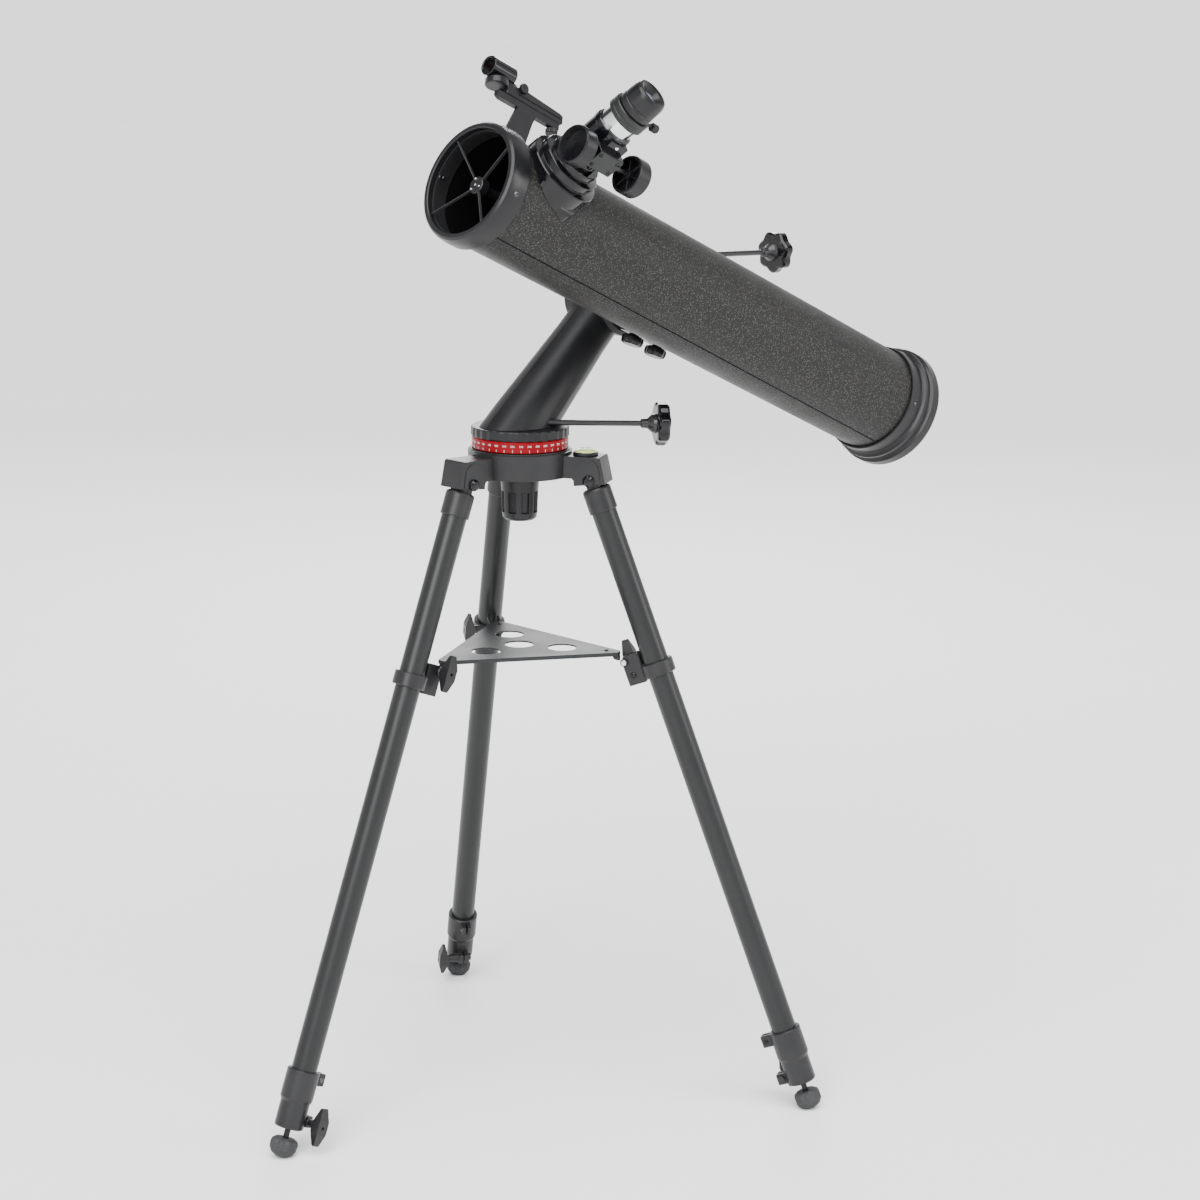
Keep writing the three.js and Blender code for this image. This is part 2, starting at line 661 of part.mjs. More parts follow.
// ---- finder, in a frame on the tube's axis with Z out through the finder ----
function finderBracket() {
  const shoe = common(
    alongX(ring(TUBE_R + GAP, 58, 24, 62, 48)),
    block(20, 80, -8, 8, 10, 80),
  );
  const stalk = slab([[32, 55], [61, 55], [69, 84], [73, 94], [48.5, 94]], -5.5, -2);
  const top = slab([[22, 95], [26, 93], [104, 93], [104, 99.7], [22, 99.7]], -5.5, 0.5);
  return cut(join(shoe, stalk, top), alongX(rod(TUBE_R + GAP, 0, 120, 48)));
}

function finderSight() {
  const bore = alongX(rod(SIGHT_R - 2.2, 0, SIGHT_END, 16)).translate(0, 0, SIGHT_H);
  const barrel = alongX(rod(SIGHT_R, SIGHT_START, SIGHT_END - 0.01, 16)).translate(0, 0, SIGHT_H);
  const battery = turned([[0, 104.5], [10, 104.5], [11, 105.5], [11, 111], [9.5, 112.6], [0, 112.6]])
    .translate(23.5, 0, 0);
  const neck = block(16, 46, -5, 5, 105, 114);
  const rail = slab(
    [[32, 100], [107.5, 100], [107.5, 109.8], [58, 113], [44, 112], [32, 111]],
    -6.5, 6.5,
  );
  return cut(join(barrel, battery, neck, rail), bore);
}

// ---- assembly ----
const telescope = new THREE.Group();

function buildTripod(parent) {
  piece(parent, 'hub', hub(), 'castBlack');
  piece(parent, 'hub_knob', hubKnob(), 'castBlack');
  piece(parent, 'azimuth_dial', dial(), 'red');
  piece(frameIn(parent, [0, 0, 0], { z: LEGS.b * DEG }), 'bubble_level', bubbleLevel(), 'vial');
  for (const [leg, azimuth] of Object.entries(LEGS)) {
    const radial = frameIn(parent, [0, 0, 0], { z: azimuth * DEG });
    piece(frameIn(radial, [HINGE_RADIUS, 0, HINGE_Z]), `hinge_bolt_${leg}`, hingeBolt(), 'steel');
    const along = frameIn(radial, [HINGE_RADIUS, 0, HINGE_Z], { y: -SPREAD });
    piece(along, `leg_socket_${leg}`, legSocket(), 'castBlack');
    piece(along, `upper_leg_${leg}`, upperLeg(), 'legBlack');
    piece(along, `lock_collar_${leg}`, lockCollar(), 'castBlack');
    piece(along, `lower_leg_${leg}`, lowerLeg(), 'legBlack');
    piece(along, `foot_${leg}`, foot(), 'rubber');
    const lockAt = frameIn(along, [LOCK_AT.x, 0, LOCK_AT.z]);
    piece(lockAt, `lock_knob_${leg}`, wingScrew(-5.5 - GAP, 5.5 + GAP, 9.5, 39), 'castBlack');
    const clampAt = frameIn(along, [0, 0, -CLAMP_AT]);
    piece(clampAt, `tray_clamp_${leg}`, trayClamp(), 'castBlack');
    const pinAt = frameIn(clampAt, [TRAY_PIN.x, 0, TRAY_PIN.z]);
    piece(pinAt, `tray_wing_bolt_${leg}`, wingScrew(-6.5 - GAP, 6.5 + GAP, WING_NECKS[leg], 38), 'castBlack');
  }
  piece(parent, 'accessory_tray', tray(), 'trayGrey');
}

function buildMount(parent) {
  piece(parent, 'azimuth_turntable', turntable(), 'castBlack');
  piece(parent, 'arm_shell_near', armShell(-1), 'castBlack');
  piece(parent, 'arm_shell_far', armShell(1), 'castBlack');
  piece(parent, 'azimuth_control', azimuthRodFrame(slowMotion(AZIMUTH_ROD.knob)), 'gloss');
  const pivot = frameIn(parent, PIVOT.toArray());
  const worm = frameIn(pivot, [0, 0, ALTITUDE_ROD.height], { y: ALTITUDE_ROD.dip });
  piece(worm, 'altitude_control', slowMotion(ALTITUDE_ROD.knob), 'gloss');
  piece(pivot, 'altitude_wheel', altitudeWheel(), 'steel');
}

function buildSaddle(parent) {
  const frame = frameIn(parent, PIVOT.toArray(), { y: ALTITUDE });
  piece(frame, 'saddle', saddle(), 'castBlack');
  const [front, rear] = SADDLE_KNOBS;
  piece(frameIn(frame, [front, -58, 0]), 'saddle_knob_front', saddleKnob(), 'castBlack');
  piece(frameIn(frame, [rear, -58, 0]), 'saddle_knob_rear', saddleKnob(), 'castBlack');
  piece(frame, 'dovetail_bar', dovetail(), 'castBlack');
  return frame;
}

function buildTube(saddleFrame) {
  const axis = frameIn(saddleFrame, [-PIVOT_AT, TUBE_Y, 0]);
  piece(axis, 'main_tube', mainTube(), 'tubeBlack');
  piece(axis, 'front_ring', frontRing(), 'castBlack');
  piece(axis, 'spider', spider(), 'steel');
  piece(axis, 'secondary_mirror', secondary(), 'mirror');
  piece(axis, 'rear_cell', rearCell(), 'castBlack');
  piece(axis, 'primary_mirror', primaryMirror(), 'mirror');
  const focuser = frameIn(axis, [FOCUSER_AT, 0, 0], { x: FOCUSER_ROLL });
  piece(focuser, 'focuser_base', focuserBase(), 'gloss');
  piece(focuser, 'focuser_body', focuserBody(), 'gloss');
  piece(focuser, 'drawtube', drawtube(), 'chrome');
  piece(focuser, 'eyepiece', eyepiece(), 'castBlack');
  piece(focuser, 'eyepiece_screw', eyepieceScrew(), 'castBlack');
  piece(focuser, 'pinion_shaft', pinionShaft(), 'steel');
  piece(focuser, 'focus_knob_front', focusKnob(FOCUS_KNOBS[0]), 'castBlack');
  piece(focuser, 'focus_knob_rear', focusKnob(FOCUS_KNOBS[1]), 'castBlack');
  const finder = frameIn(axis, [0, 0, 0], { x: FINDER_ROLL });
  piece(finder, 'finder_bracket', finderBracket(), 'castBlack');
  piece(finder, 'finder_sight', finderSight(), 'castBlack');
}

buildTripod(telescope);
buildMount(telescope);
buildTube(buildSaddle(telescope));

// The part's origin is at the bottom centre of its bounding box.
const bounds = new THREE.Box3().setFromObject(telescope, true);
telescope.position.set(
  -(bounds.min.x + bounds.max.x) / 2,
  -(bounds.min.y + bounds.max.y) / 2,
  -bounds.min.z,
);

export default telescope;
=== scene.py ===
"""The finished look of a newtonian telescope on a slanted-arm mount and a tripod."""

import json
import math

import bmesh
import bpy
from mathutils import Matrix, Vector


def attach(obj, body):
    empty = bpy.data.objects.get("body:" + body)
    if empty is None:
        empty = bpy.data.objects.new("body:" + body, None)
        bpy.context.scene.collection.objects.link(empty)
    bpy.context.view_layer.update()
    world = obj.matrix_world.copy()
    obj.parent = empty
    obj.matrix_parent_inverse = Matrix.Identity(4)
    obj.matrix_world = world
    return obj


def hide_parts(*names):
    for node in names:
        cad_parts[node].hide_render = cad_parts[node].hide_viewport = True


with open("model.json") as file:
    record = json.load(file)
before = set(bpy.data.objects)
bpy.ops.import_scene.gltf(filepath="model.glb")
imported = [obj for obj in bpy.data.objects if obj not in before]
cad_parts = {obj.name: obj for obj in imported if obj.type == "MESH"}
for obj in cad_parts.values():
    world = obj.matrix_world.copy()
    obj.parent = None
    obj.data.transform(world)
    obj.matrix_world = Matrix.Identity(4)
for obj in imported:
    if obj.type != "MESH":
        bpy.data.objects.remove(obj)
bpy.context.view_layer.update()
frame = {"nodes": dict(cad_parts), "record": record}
MM = 0.001
JOINTS = {j["name"]: j for j in frame["record"]["behaviour"]["joints"]}
PIVOT = Vector((122.1, 0, 812.1))
ORIGIN = Vector(JOINTS["altitude"]["pos_m"]) - PIVOT * MM  # floor point under the tripod's axis


# ---- places, in millimetres from that floor point ----
def at(x, y, z):
    return Matrix.Translation((x, y, z))


def spin(degrees, axis):
    return Matrix.Rotation(math.radians(degrees), 4, axis)


ALONG_X = spin(90, "Y")
ALONG_Y = spin(-90, "X")
UPRIGHT = spin(90, "X")  # an outline's Y goes up, and its thickness runs towards -Y
LEGS = {"a": 181.7, "b": -58.3, "c": 61.7}  # headings
SPREAD = 20.5
HINGE_RADIUS = 76
HINGE_HEIGHT = 640
LOCK_X, LOCK_Z = -18.6, -645  # the leg lock's screw, in the leg's frame
CLAMP_AT = 200.7  # the tray's clamp, down the leg
PIN_X, PIN_Z = -30.3, 15.3  # the tray's pin, in the clamp's frame
WING_NECKS = {"a": 4, "b": 4, "c": 14}
TRAY_TOP = 464.9
PORT = 68  # the focuser, along the tube
PORT_ROLL = 47  # and around it, from the top towards the near side
TUBE_FRONT, TUBE_BACK = 6.5, 615.4
TUBE_INNER, TUBE_OUTER = 52.6, 54.1
CLEAR_OF_TUBE = 54.4
THUMB_SCREW_AT = 143  # up the focuser
SIGHT_AT = 121  # out from the tube's axis
BASE = Matrix.Identity(4)
SADDLE = at(*PIVOT) @ spin(24.2, "Y")
AXIS = SADDLE @ at(-331, -132, 0)
DOWN_TUBE = AXIS @ ALONG_X
ACROSS_PORT = AXIS @ at(PORT, 0, 0) @ ALONG_X
FOCUSER = AXIS @ at(PORT, 0, 0) @ spin(PORT_ROLL, "X")
FINDER = AXIS @ spin(-18, "X")
ALTITUDE_ROD = at(*PIVOT) @ at(0, 0, 36.4) @ spin(1.5, "Y")
AZIMUTH_ROD = spin(-31.5, "Z") @ at(0, -20.4, 696) @ spin(1.6, "Y")


def leg_place(leg):
    return spin(LEGS[leg], "Z") @ at(HINGE_RADIUS, 0, HINGE_HEIGHT) @ spin(-SPREAD, "Y")


# ---- shapes: (points, faces) in millimetres ----
def fillet(points, radius, closed=True):
    """Rounds the corners of a flat outline."""
    steps = 4
    made = []
    count = len(points)
    for i, point in enumerate(points):
        here = Vector(point[:2])
        if not closed and i in (0, count - 1):
            made.append(tuple(here))
            continue
        before = Vector(points[i - 1][:2]) - here
        after = Vector(points[(i + 1) % count][:2]) - here
        angle = before.angle(after, math.pi)
        if angle > 2.95 or before.length < 1e-6 or after.length < 1e-6:
            made.append(tuple(here))
            continue
        reach = min(radius / math.tan(angle / 2), before.length * 0.45, after.length * 0.45)
        start = here + before.normalized() * reach
        end = here + after.normalized() * reach
        for step in range(steps + 1):
            t = step / steps
            made.append(tuple(start * (1 - t) ** 2 + here * 2 * t * (1 - t) + end * t**2))
    return made


def turned(profile, n=96, radius=0.5, lobes=0, depth=0.0, band=None, steep=0.0):
    """A profile of (radius, height) points turned about Z.

    Lobes wave the radius within a band of heights, and steep gives the waves flat tops and floors.
    """
    open_ended = profile[0][0] == 0
    rounded = fillet(profile, radius, closed=not open_ended) if radius else profile
    points, rings, faces = [], [], []
    low, high = band or (-1e9, 1e9)
    for r, z in rounded:
        if r < 1e-6:
            rings.append([len(points)] * n)
            points.append((0, 0, z))
            continue
        rings.append(list(range(len(points), len(points) + n)))
        for i in range(n):
            a = 2 * math.pi * i / n
            wave = 0.0
            if lobes and low <= z <= high:
                swing = -math.cos(lobes * a)
                slope = steep or 0.5
                wave = depth * min(1, max(0, 0.5 + slope * swing))
            points.append(((r - wave) * math.cos(a), (r - wave) * math.sin(a), z))
    pairs = list(zip(rings, rings[1:]))
    if not open_ended:
        pairs.append((rings[-1], rings[0]))
    for lower, upper in pairs:
        for i in range(n):
            j = (i + 1) % n
            face = list(dict.fromkeys((lower[i], lower[j], upper[j], upper[i])))
            if len(face) > 2:
                faces.append(face)
    return points, faces


def prism(outline, low, high, radius=0.8, edge=0.5):
    """An outline in XY from z = low to z = high, with rounded corners and chamfered ends."""
    flat = fillet(outline, radius) if radius else [tuple(p) for p in outline]
    inner = []
    count = len(flat)
    for i, point in enumerate(flat):
        tangent = (Vector(flat[(i + 1) % count]) - Vector(flat[i - 1])).normalized()
        normal = Vector((tangent.y, -tangent.x))
        inner.append(Vector(point) - normal * edge * side_of(flat))
    layers = [(inner, low), (flat, low + edge), (flat, high - edge), (inner, high)]
    points, faces = [], []
    for layer, z in layers:
        points += [(p[0], p[1], z) for p in layer]
    for k in range(3):
        for i in range(count):
            j = (i + 1) % count
            faces.append([k * count + i, k * count + j, (k + 1) * count + j, (k + 1) * count + i])
    faces.append(list(range(count))[::-1])
    faces.append([3 * count + i for i in range(count)])
    return points, faces


def oblong(x0, x1, y0, y1):
    return [(x0, y0), (x1, y0), (x1, y1), (x0, y1)]


def side_of(flat):
    """1 for an outline that runs anticlockwise, and -1 for a clockwise one."""
    area = 0
    for (x0, y0), (x1, y1) in zip(flat, flat[1:] + flat[:1]):
        area += x0 * y1 - x1 * y0
    return 1 if area > 0 else -1


def shifted(shape, matrix):
    """A shape moved by a matrix."""
    points, faces = shape
    return [tuple(matrix @ Vector(p)) for p in points], faces


def together(*shapes):
    """Several shapes as one."""
    points, faces = [], []
    for some_points, some_faces in shapes:
        start = len(points)
        points += some_points
        faces += [[start + i for i in face] for face in some_faces]
    return points, faces


def raw_object(name, shape, place):
    """A mesh object of a shape, at a place given in millimetres."""
    mesh = bpy.data.meshes.new(name)
    mesh.from_pydata([Vector(p) * MM for p in shape[0]], [], shape[1])
    bm = bmesh.new()
    bm.from_mesh(mesh)
    bmesh.ops.remove_doubles(bm, verts=bm.verts, dist=1e-7)
    bmesh.ops.recalc_face_normals(bm, faces=bm.faces)
    bm.to_mesh(mesh)
    bm.free()
    made = bpy.data.objects.new(name, mesh)
    bpy.context.scene.collection.objects.link(made)
    world = place.copy()
    world.translation = world.translation * MM + ORIGIN
    made.matrix_world = world
    return made


def carve(made, *tools, keep=False):
    """Cuts shapes out of an object, or keeps only what lies inside them."""
    for shape, place in tools:
        tool = raw_object("tool", shape, place)
        modifier = made.modifiers.new("carve", "BOOLEAN")
        modifier.object = tool
        modifier.operation = "INTERSECT" if keep else "DIFFERENCE"
        modifier.solver = "EXACT"
        bpy.context.view_layer.update()
        graph = bpy.context.evaluated_depsgraph_get()
        mesh = bpy.data.meshes.new_from_object(made.evaluated_get(graph))
        made.modifiers.clear()
        made.data = mesh
        bpy.data.objects.remove(tool)


def finish_piece(made, body, paint, stands_for=()):
    """Gives a mesh its material and smooth shading, and says what it rides on and stands for."""
    material, slot = paint
    made.data.materials.clear()
    made.data.materials.append(material)
    made.data.shade_smooth()
    made.data.set_sharp_from_angle(angle=math.radians(32))
    weighted = made.modifiers.new("normals", "WEIGHTED_NORMAL")
    weighted.keep_sharp = True
    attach(made, body)
    if stands_for:
        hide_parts(*stands_for)


def piece(name, shape, place, body, paint, stands_for=()):
    finish_piece(raw_object(name, shape, place), body, paint, stands_for)


def dress(node, paint, bevel=0.35):
    """Gives a CAD node its material, rounded edges and smooth shading."""
    made = frame["nodes"][node]
    made.data.materials.clear()
    made.data.materials.append(paint[0])
    made.data.shade_smooth()
    weld = made.modifiers.new("weld", "WELD")
    weld.merge_threshold = 1e-5
    flat = made.modifiers.new("flat", "DECIMATE")
    flat.decimate_type = "DISSOLVE"
    flat.angle_limit = math.radians(0.8)
    edge = made.modifiers.new("edge", "BEVEL")
    edge.width = bevel * MM
    edge.segments = 2
    edge.limit_method = "ANGLE"
    edge.angle_limit = math.radians(34)
    edge.use_clamp_overlap = True
    weighted = made.modifiers.new("normals", "WEIGHTED_NORMAL")
    weighted.keep_sharp = False


# ---- materials ----
def feed(tree, socket, value):
    """Puts a number, a colour or another node's output into a socket."""
    if isinstance(value, bpy.types.NodeSocket):
        tree.links.new(value, socket)
    else:
        socket.default_value = value


def linked(tree, kind, **inputs):
    node = tree.nodes.new(kind)
    for name, value in inputs.items():
        feed(tree, node.inputs[name.replace("_", " ")], value)
    return node


def maths(tree, operation, *values):
    node = tree.nodes.new("ShaderNodeMath")
    node.operation = operation
    for socket, value in zip(node.inputs, values):
        feed(tree, socket, value)
    return node.outputs[0]


def remap(tree, value, low, high, to_low=0.0, to_high=1.0):
    """Stretches the range from low to high onto another range."""
    node = linked(tree, "ShaderNodeMapRange", Value=value, From_Min=low, From_Max=high,
                  To_Min=to_low, To_Max=to_high)
    return node.outputs["Result"]


def mixed(tree, factor, first, second):
    """A colour between two others, by the sockets that the mix node keeps for colours."""
    factor_socket, first_socket, second_socket, result_socket = 0, 6, 7, 2
    node = tree.nodes.new("ShaderNodeMix")
    node.data_type = "RGBA"
    feed(tree, node.inputs[factor_socket], factor)
    feed(tree, node.inputs[first_socket], first)
    feed(tree, node.inputs[second_socket], second)
    return node.outputs[result_socket]


def colour(rgb):
    return (*rgb, 1.0)


def finish(name, dark, light, rough, spread=0.06, metal=0.0, coat=0.0, grain=900.0, bump=0.08,
           patch=25.0, specular=0.5):
    """A surface with fine grain, slow patches in its colour and uneven gloss."""
    material = bpy.data.materials.new(name)
    material.use_nodes = True
    tree = material.node_tree
    shader = tree.nodes["Principled BSDF"]
    shader.inputs["Metallic"].default_value = metal
    shader.inputs["Coat Weight"].default_value = coat
    shader.inputs["Coat Roughness"].default_value = 0.05
    shader.inputs["Specular IOR Level"].default_value = specular
    coord = tree.nodes.new("ShaderNodeTexCoord")
    spot = coord.outputs["Object"]
    fine = linked(tree, "ShaderNodeTexNoise", Vector=spot, Scale=grain, Detail=4.0).outputs["Fac"]
    slow = linked(tree, "ShaderNodeTexNoise", Vector=spot, Scale=patch, Detail=3.0).outputs["Fac"]
    ramp = linked(tree, "ShaderNodeValToRGB", Fac=remap(tree, maths(tree, "ADD", fine, slow), 0.6, 1.4))
    ramp.color_ramp.elements[0].color = colour(dark)
    ramp.color_ramp.elements[1].color = colour(light)
    tree.links.new(ramp.outputs["Color"], shader.inputs["Base Color"])
    gloss = remap(tree, slow, 0.3, 0.7, rough - spread, rough + spread)
    tree.links.new(gloss, shader.inputs["Roughness"])
    relief = linked(tree, "ShaderNodeBump", Strength=bump, Distance=0.0002, Height=fine)
    tree.links.new(relief.outputs["Normal"], shader.inputs["Normal"])
    return material


def leatherette():
    """Fine pebbled covering, whose pebble tops get a paler colour as painted highlights."""
    material = finish("leatherette", (0.004, 0.0037, 0.0035), (0.009, 0.0086, 0.0082), 0.50, 0.05,
                      grain=500.0, bump=0.3, specular=0.25)
    tree = material.node_tree
    shader = tree.nodes["Principled BSDF"]
    coord = tree.nodes.new("ShaderNodeTexCoord")
    cells = linked(tree, "ShaderNodeTexVoronoi", Vector=coord.outputs["Object"], Scale=640.0)
    tops = remap(tree, cells.outputs["Distance"], 0.05, 0.46, 1.0, 0.0)
    uneven = linked(tree, "ShaderNodeSeparateColor", Color=cells.outputs["Color"]).outputs["Red"]
    # painted highlight: the pebble tops, at random strength, are mixed towards pale grey in the base colour
    # to stand in for their glints
    bright = maths(tree, "MULTIPLY", tops, remap(tree, uneven, 0.1, 1.0))
    base = shader.inputs["Base Color"].links[0].from_socket
    painted_glint_colour = mixed(tree, bright, base, colour((0.125, 0.121, 0.117)))
    tree.links.new(painted_glint_colour, shader.inputs["Base Color"])
    relief = linked(tree, "ShaderNodeBump", Strength=0.55, Distance=0.0003, Height=tops)
    tree.links.new(relief.outputs["Normal"], shader.inputs["Normal"])
    return material


def glass(name, tint, rough):
    material = finish(name, tint, tuple(min(1, c * 1.15) for c in tint), rough, 0.01, grain=60.0, bump=0.0)
    shader = material.node_tree.nodes["Principled BSDF"]
    shader.inputs["Transmission Weight"].default_value = 0.75
    shader.inputs["IOR"].default_value = 1.5
    return material


def paint(name, slot, dark, light, rough, **more):
    return finish(name, dark, light, rough, **more), slot


PAINTS = {
    "tube": (leatherette(), "leatherette"),
    "seam": paint("seam_black", "leatherette", (0.001, 0.001, 0.001), (0.003, 0.003, 0.003), 0.8,
                  grain=900.0, bump=0.1, specular=0.05),
    "vane": paint("vane_grey", "steel", (0.018, 0.018, 0.020), (0.035, 0.035, 0.038), 0.45,
                  grain=900.0, bump=0.05, specular=0.3),
    "cast": paint("cast_black", "casting", (0.008, 0.008, 0.009), (0.017, 0.017, 0.018), 0.38,
                  grain=1500.0, bump=0.2, specular=0.32),
    "satin": paint("satin_black", "casting", (0.005, 0.005, 0.006), (0.010, 0.010, 0.011), 0.32,
                   grain=1200.0, bump=0.1, specular=0.3),
    "arm": paint("arm_black", "arm_black", (0.005, 0.005, 0.006), (0.010, 0.010, 0.011), 0.42,
                 grain=1400.0, bump=0.2, specular=0.26),
    "leg": paint("leg_black", "leg_tube", (0.006, 0.0064, 0.0068), (0.011, 0.0115, 0.012), 0.36,
                 spread=0.015, grain=600.0, bump=0.05, patch=8.0, specular=0.36),
    "gloss": paint("gloss_black", "gloss_black", (0.002, 0.002, 0.003), (0.005, 0.005, 0.006), 0.12,
                   spread=0.03, coat=0.2, grain=250.0, bump=0.02, specular=0.25),
    "tray": paint("tray_grey", "tray_grey", (0.012, 0.013, 0.014), (0.022, 0.023, 0.025), 0.42,
                  grain=1300.0, bump=0.1, specular=0.25),
    "rubber": paint("rubber", "rubber", (0.020, 0.021, 0.022), (0.038, 0.039, 0.040), 0.70,
                    grain=900.0, bump=0.25, specular=0.3),
    "red": paint("dial_red", "dial_red", (0.15, 0.0003, 0.003), (0.23, 0.0006, 0.006), 0.34,
                 grain=900.0, bump=0.03, specular=0.15),
    "chrome": paint("chrome", "chrome", (0.62, 0.63, 0.64), (0.80, 0.81, 0.82), 0.10,
                    spread=0.03, metal=1.0, grain=700.0, bump=0.02),
    "rod": paint("rod_black", "steel", (0.012, 0.012, 0.013), (0.024, 0.024, 0.026), 0.25,
                 spread=0.02, grain=900.0, bump=0.03, specular=0.4),
    "steel": paint("steel", "steel", (0.06, 0.06, 0.065), (0.11, 0.11, 0.12), 0.28,
                   metal=0.9, grain=900.0, bump=0.05),
    "mirror": paint("mirror", "mirror", (0.84, 0.86, 0.88), (0.92, 0.93, 0.94), 0.03,
                    spread=0.01, metal=1.0, grain=40.0, bump=0.0),
    "vial": paint("vial", "vial", (0.40, 0.50, 0.16), (0.60, 0.68, 0.30), 0.12,
                  spread=0.03, coat=0.6, grain=120.0, bump=0.0),
    "lens": (glass("lens", (0.30, 0.34, 0.44), 0.03), "glass"),
    "sight_lens": (glass("sight_lens", (0.012, 0.004, 0.005), 0.05), "glass"),
    "white": paint("white_ink", "dial_red", (0.58, 0.58, 0.58), (0.70, 0.70, 0.70), 0.5,
                   grain=900.0, bump=0.02),
}


def screw(name, radius, height, place, body, paint, cross=True):
    """A domed screw head, with a cross-shaped recess or a plain top."""
    dome = [
        (0, -0.6), (radius, -0.6), (radius, height * 0.3), (radius * 0.8, height * 0.78),
        (radius * 0.35, height), (0, height),
    ]
    made = raw_object(name, turned(dome, 32, 0.3), place)
    if cross:
        w, r = radius * 0.13, radius * 0.62
        for slot in (oblong(-r, r, -w, w), oblong(-w, w, -r, r)):
            carve(made, (prism(slot, height * 0.45, height + 1, 0, 0.02), place))
    finish_piece(made, body, PAINTS[paint])


# ---- tripod head ----
def tripod_head():
    dress("hub", PAINTS["cast"], 0.6)
    knob = turned([
        (0, 595), (14.6, 595), (17.0, 597.4), (17.9, 602.6), (17.95, 603.4), (18.6, 623.6), (18.65, 624.4),
        (19.8, 640), (19.4, 641.1), (0, 641.1),
    ], 256, 0.4, lobes=8, depth=2.6, band=(603, 624), steep=2.2)
    stem = turned([(0, 641), (4, 641), (4, 660), (0, 660)], 32)
    piece("hub_hand_knob", together(knob, stem), BASE, "hub_knob", PAINTS["satin"], ["hub_knob"])
    level = spin(LEGS["b"], "Z") @ at(68.4, 0, 0)
    piece("level_base", turned([
        (0, 663.9), (12.6, 663.9), (12.6, 666.4), (12.0, 667.2), (11.2, 667.2), (11.2, 666), (0, 666),
    ], 64, 0.3), level, "root", PAINTS["satin"], ["bubble_level"])
    piece("level_vial", turned([
        (0, 665.9), (11, 665.9), (11, 667.4), (9.6, 669.2), (6.5, 670.4), (3, 670.8), (0, 670.9),
    ], 64, 0.6), level, "root", PAINTS["vial"])
    piece("level_mark", turned([(4.2, 670.2), (4.9, 670.2), (4.9, 670.9), (4.2, 670.9)], 48, 0.1),
          level, "root", PAINTS["satin"])
    for leg, azimuth in LEGS.items():
        bolt = turned([
            (0, -19.8), (3.6, -19.4), (5.8, -17.6), (6.0, -15.9), (3, -15.9), (3, 15.9), (6.0, 15.9),
            (5.8, 17.6), (3.6, 19.4), (0, 19.8),
        ], 48, 0.5)
        place = spin(azimuth, "Z") @ at(HINGE_RADIUS, 0, HINGE_HEIGHT) @ ALONG_Y
        piece(f"pivot_bolt_{leg}", bolt, place, "root", PAINTS["gloss"], [f"hinge_bolt_{leg}"])


def dial_numbers():
    """White numbers and ticks every ten degrees, lying on the dial's face."""
    points, faces = [], []
    radius, middle = 48.45, 675.6
    for step in range(36):
        number = str(step * 10)
        curve = bpy.data.curves.new("number", "FONT")
        curve.body = number
        curve.size = 2.7
        curve.align_x = "CENTER"
        curve.extrude = 0.1
        holder = bpy.data.objects.new("number", curve)
        bpy.context.scene.collection.objects.link(holder)
        bpy.context.view_layer.update()
        graph = bpy.context.evaluated_depsgraph_get()
        mesh = bpy.data.meshes.new_from_object(holder.evaluated_get(graph))
        bpy.data.objects.remove(holder)
        shape = ([tuple(v.co) for v in mesh.vertices], [list(p.vertices) for p in mesh.polygons])
        tick = prism(oblong(-0.2, 0.2, -5.2, -2.8), -0.1, 0.1, 0, 0.02)
        heading = math.radians(step * 10)
        for some_points, some_faces in (shape, tick):
            start = len(points)
            for x, y, z in some_points:
                a = heading + x / radius
                points.append(((radius + z) * math.cos(a), (radius + z) * math.sin(a), middle + y - 0.6))
            faces += [[start + i for i in face] for face in some_faces]
    piece("dial_numbers", (points, faces), BASE, "azimuth_dial", PAINTS["white"])


def dial_and_turntable():
    piece("dial_ring", turned([
        (42, 668.5), (47.6, 668.5), (48.4, 669.3), (48.4, 679.2), (47.6, 680.1), (42, 680.1),
    ], 128, 0.3), BASE, "azimuth_dial", PAINTS["red"], ["azimuth_dial"])
    dial_numbers()
    rim = turned([
        (16.4, 680.4), (48.2, 680.4), (49.4, 681.4), (49.4, 688.8), (48.4, 690), (16.4, 690),
    ], 240, 0.5, lobes=30, depth=0.9, band=(680.9, 689.5))
    piece("turntable_rim", rim, BASE, "mount", PAINTS["satin"], ["azimuth_turntable"])


# ---- mount ----
def star_control(name, place, knob_at):
    """A slow-motion rod with a seven-lobed knob whose middle stands at knob_at along it."""
    near = knob_at - 6.5
    rod = turned([
        (0, -13), (4.4, -13), (4.4, 13), (2.9, 13), (2.9, near - 15), (4.7, near - 14), (5.2, near - 8),
        (9.4, near - 3), (10.6, near + 0.8), (0, near + 0.8),
    ], 64, 0.5)
    piece(f"{name}_rod", rod, place @ ALONG_X, name, PAINTS["rod"], [name])
    star = turned([
        (0, near), (17, near), (20.6, near + 0.6), (22.5, near + 2.8), (22.5, near + 10.2),
        (20.6, near + 12.4), (16, near + 13), (11.4, near + 13), (10.4, near + 11.8), (0, near + 11.8),
    ], 280, 1.6, lobes=7, depth=2.8, band=(near + 0.1, near + 12.95))
    piece(f"{name}_star", star, place @ ALONG_X, name, PAINTS["gloss"])


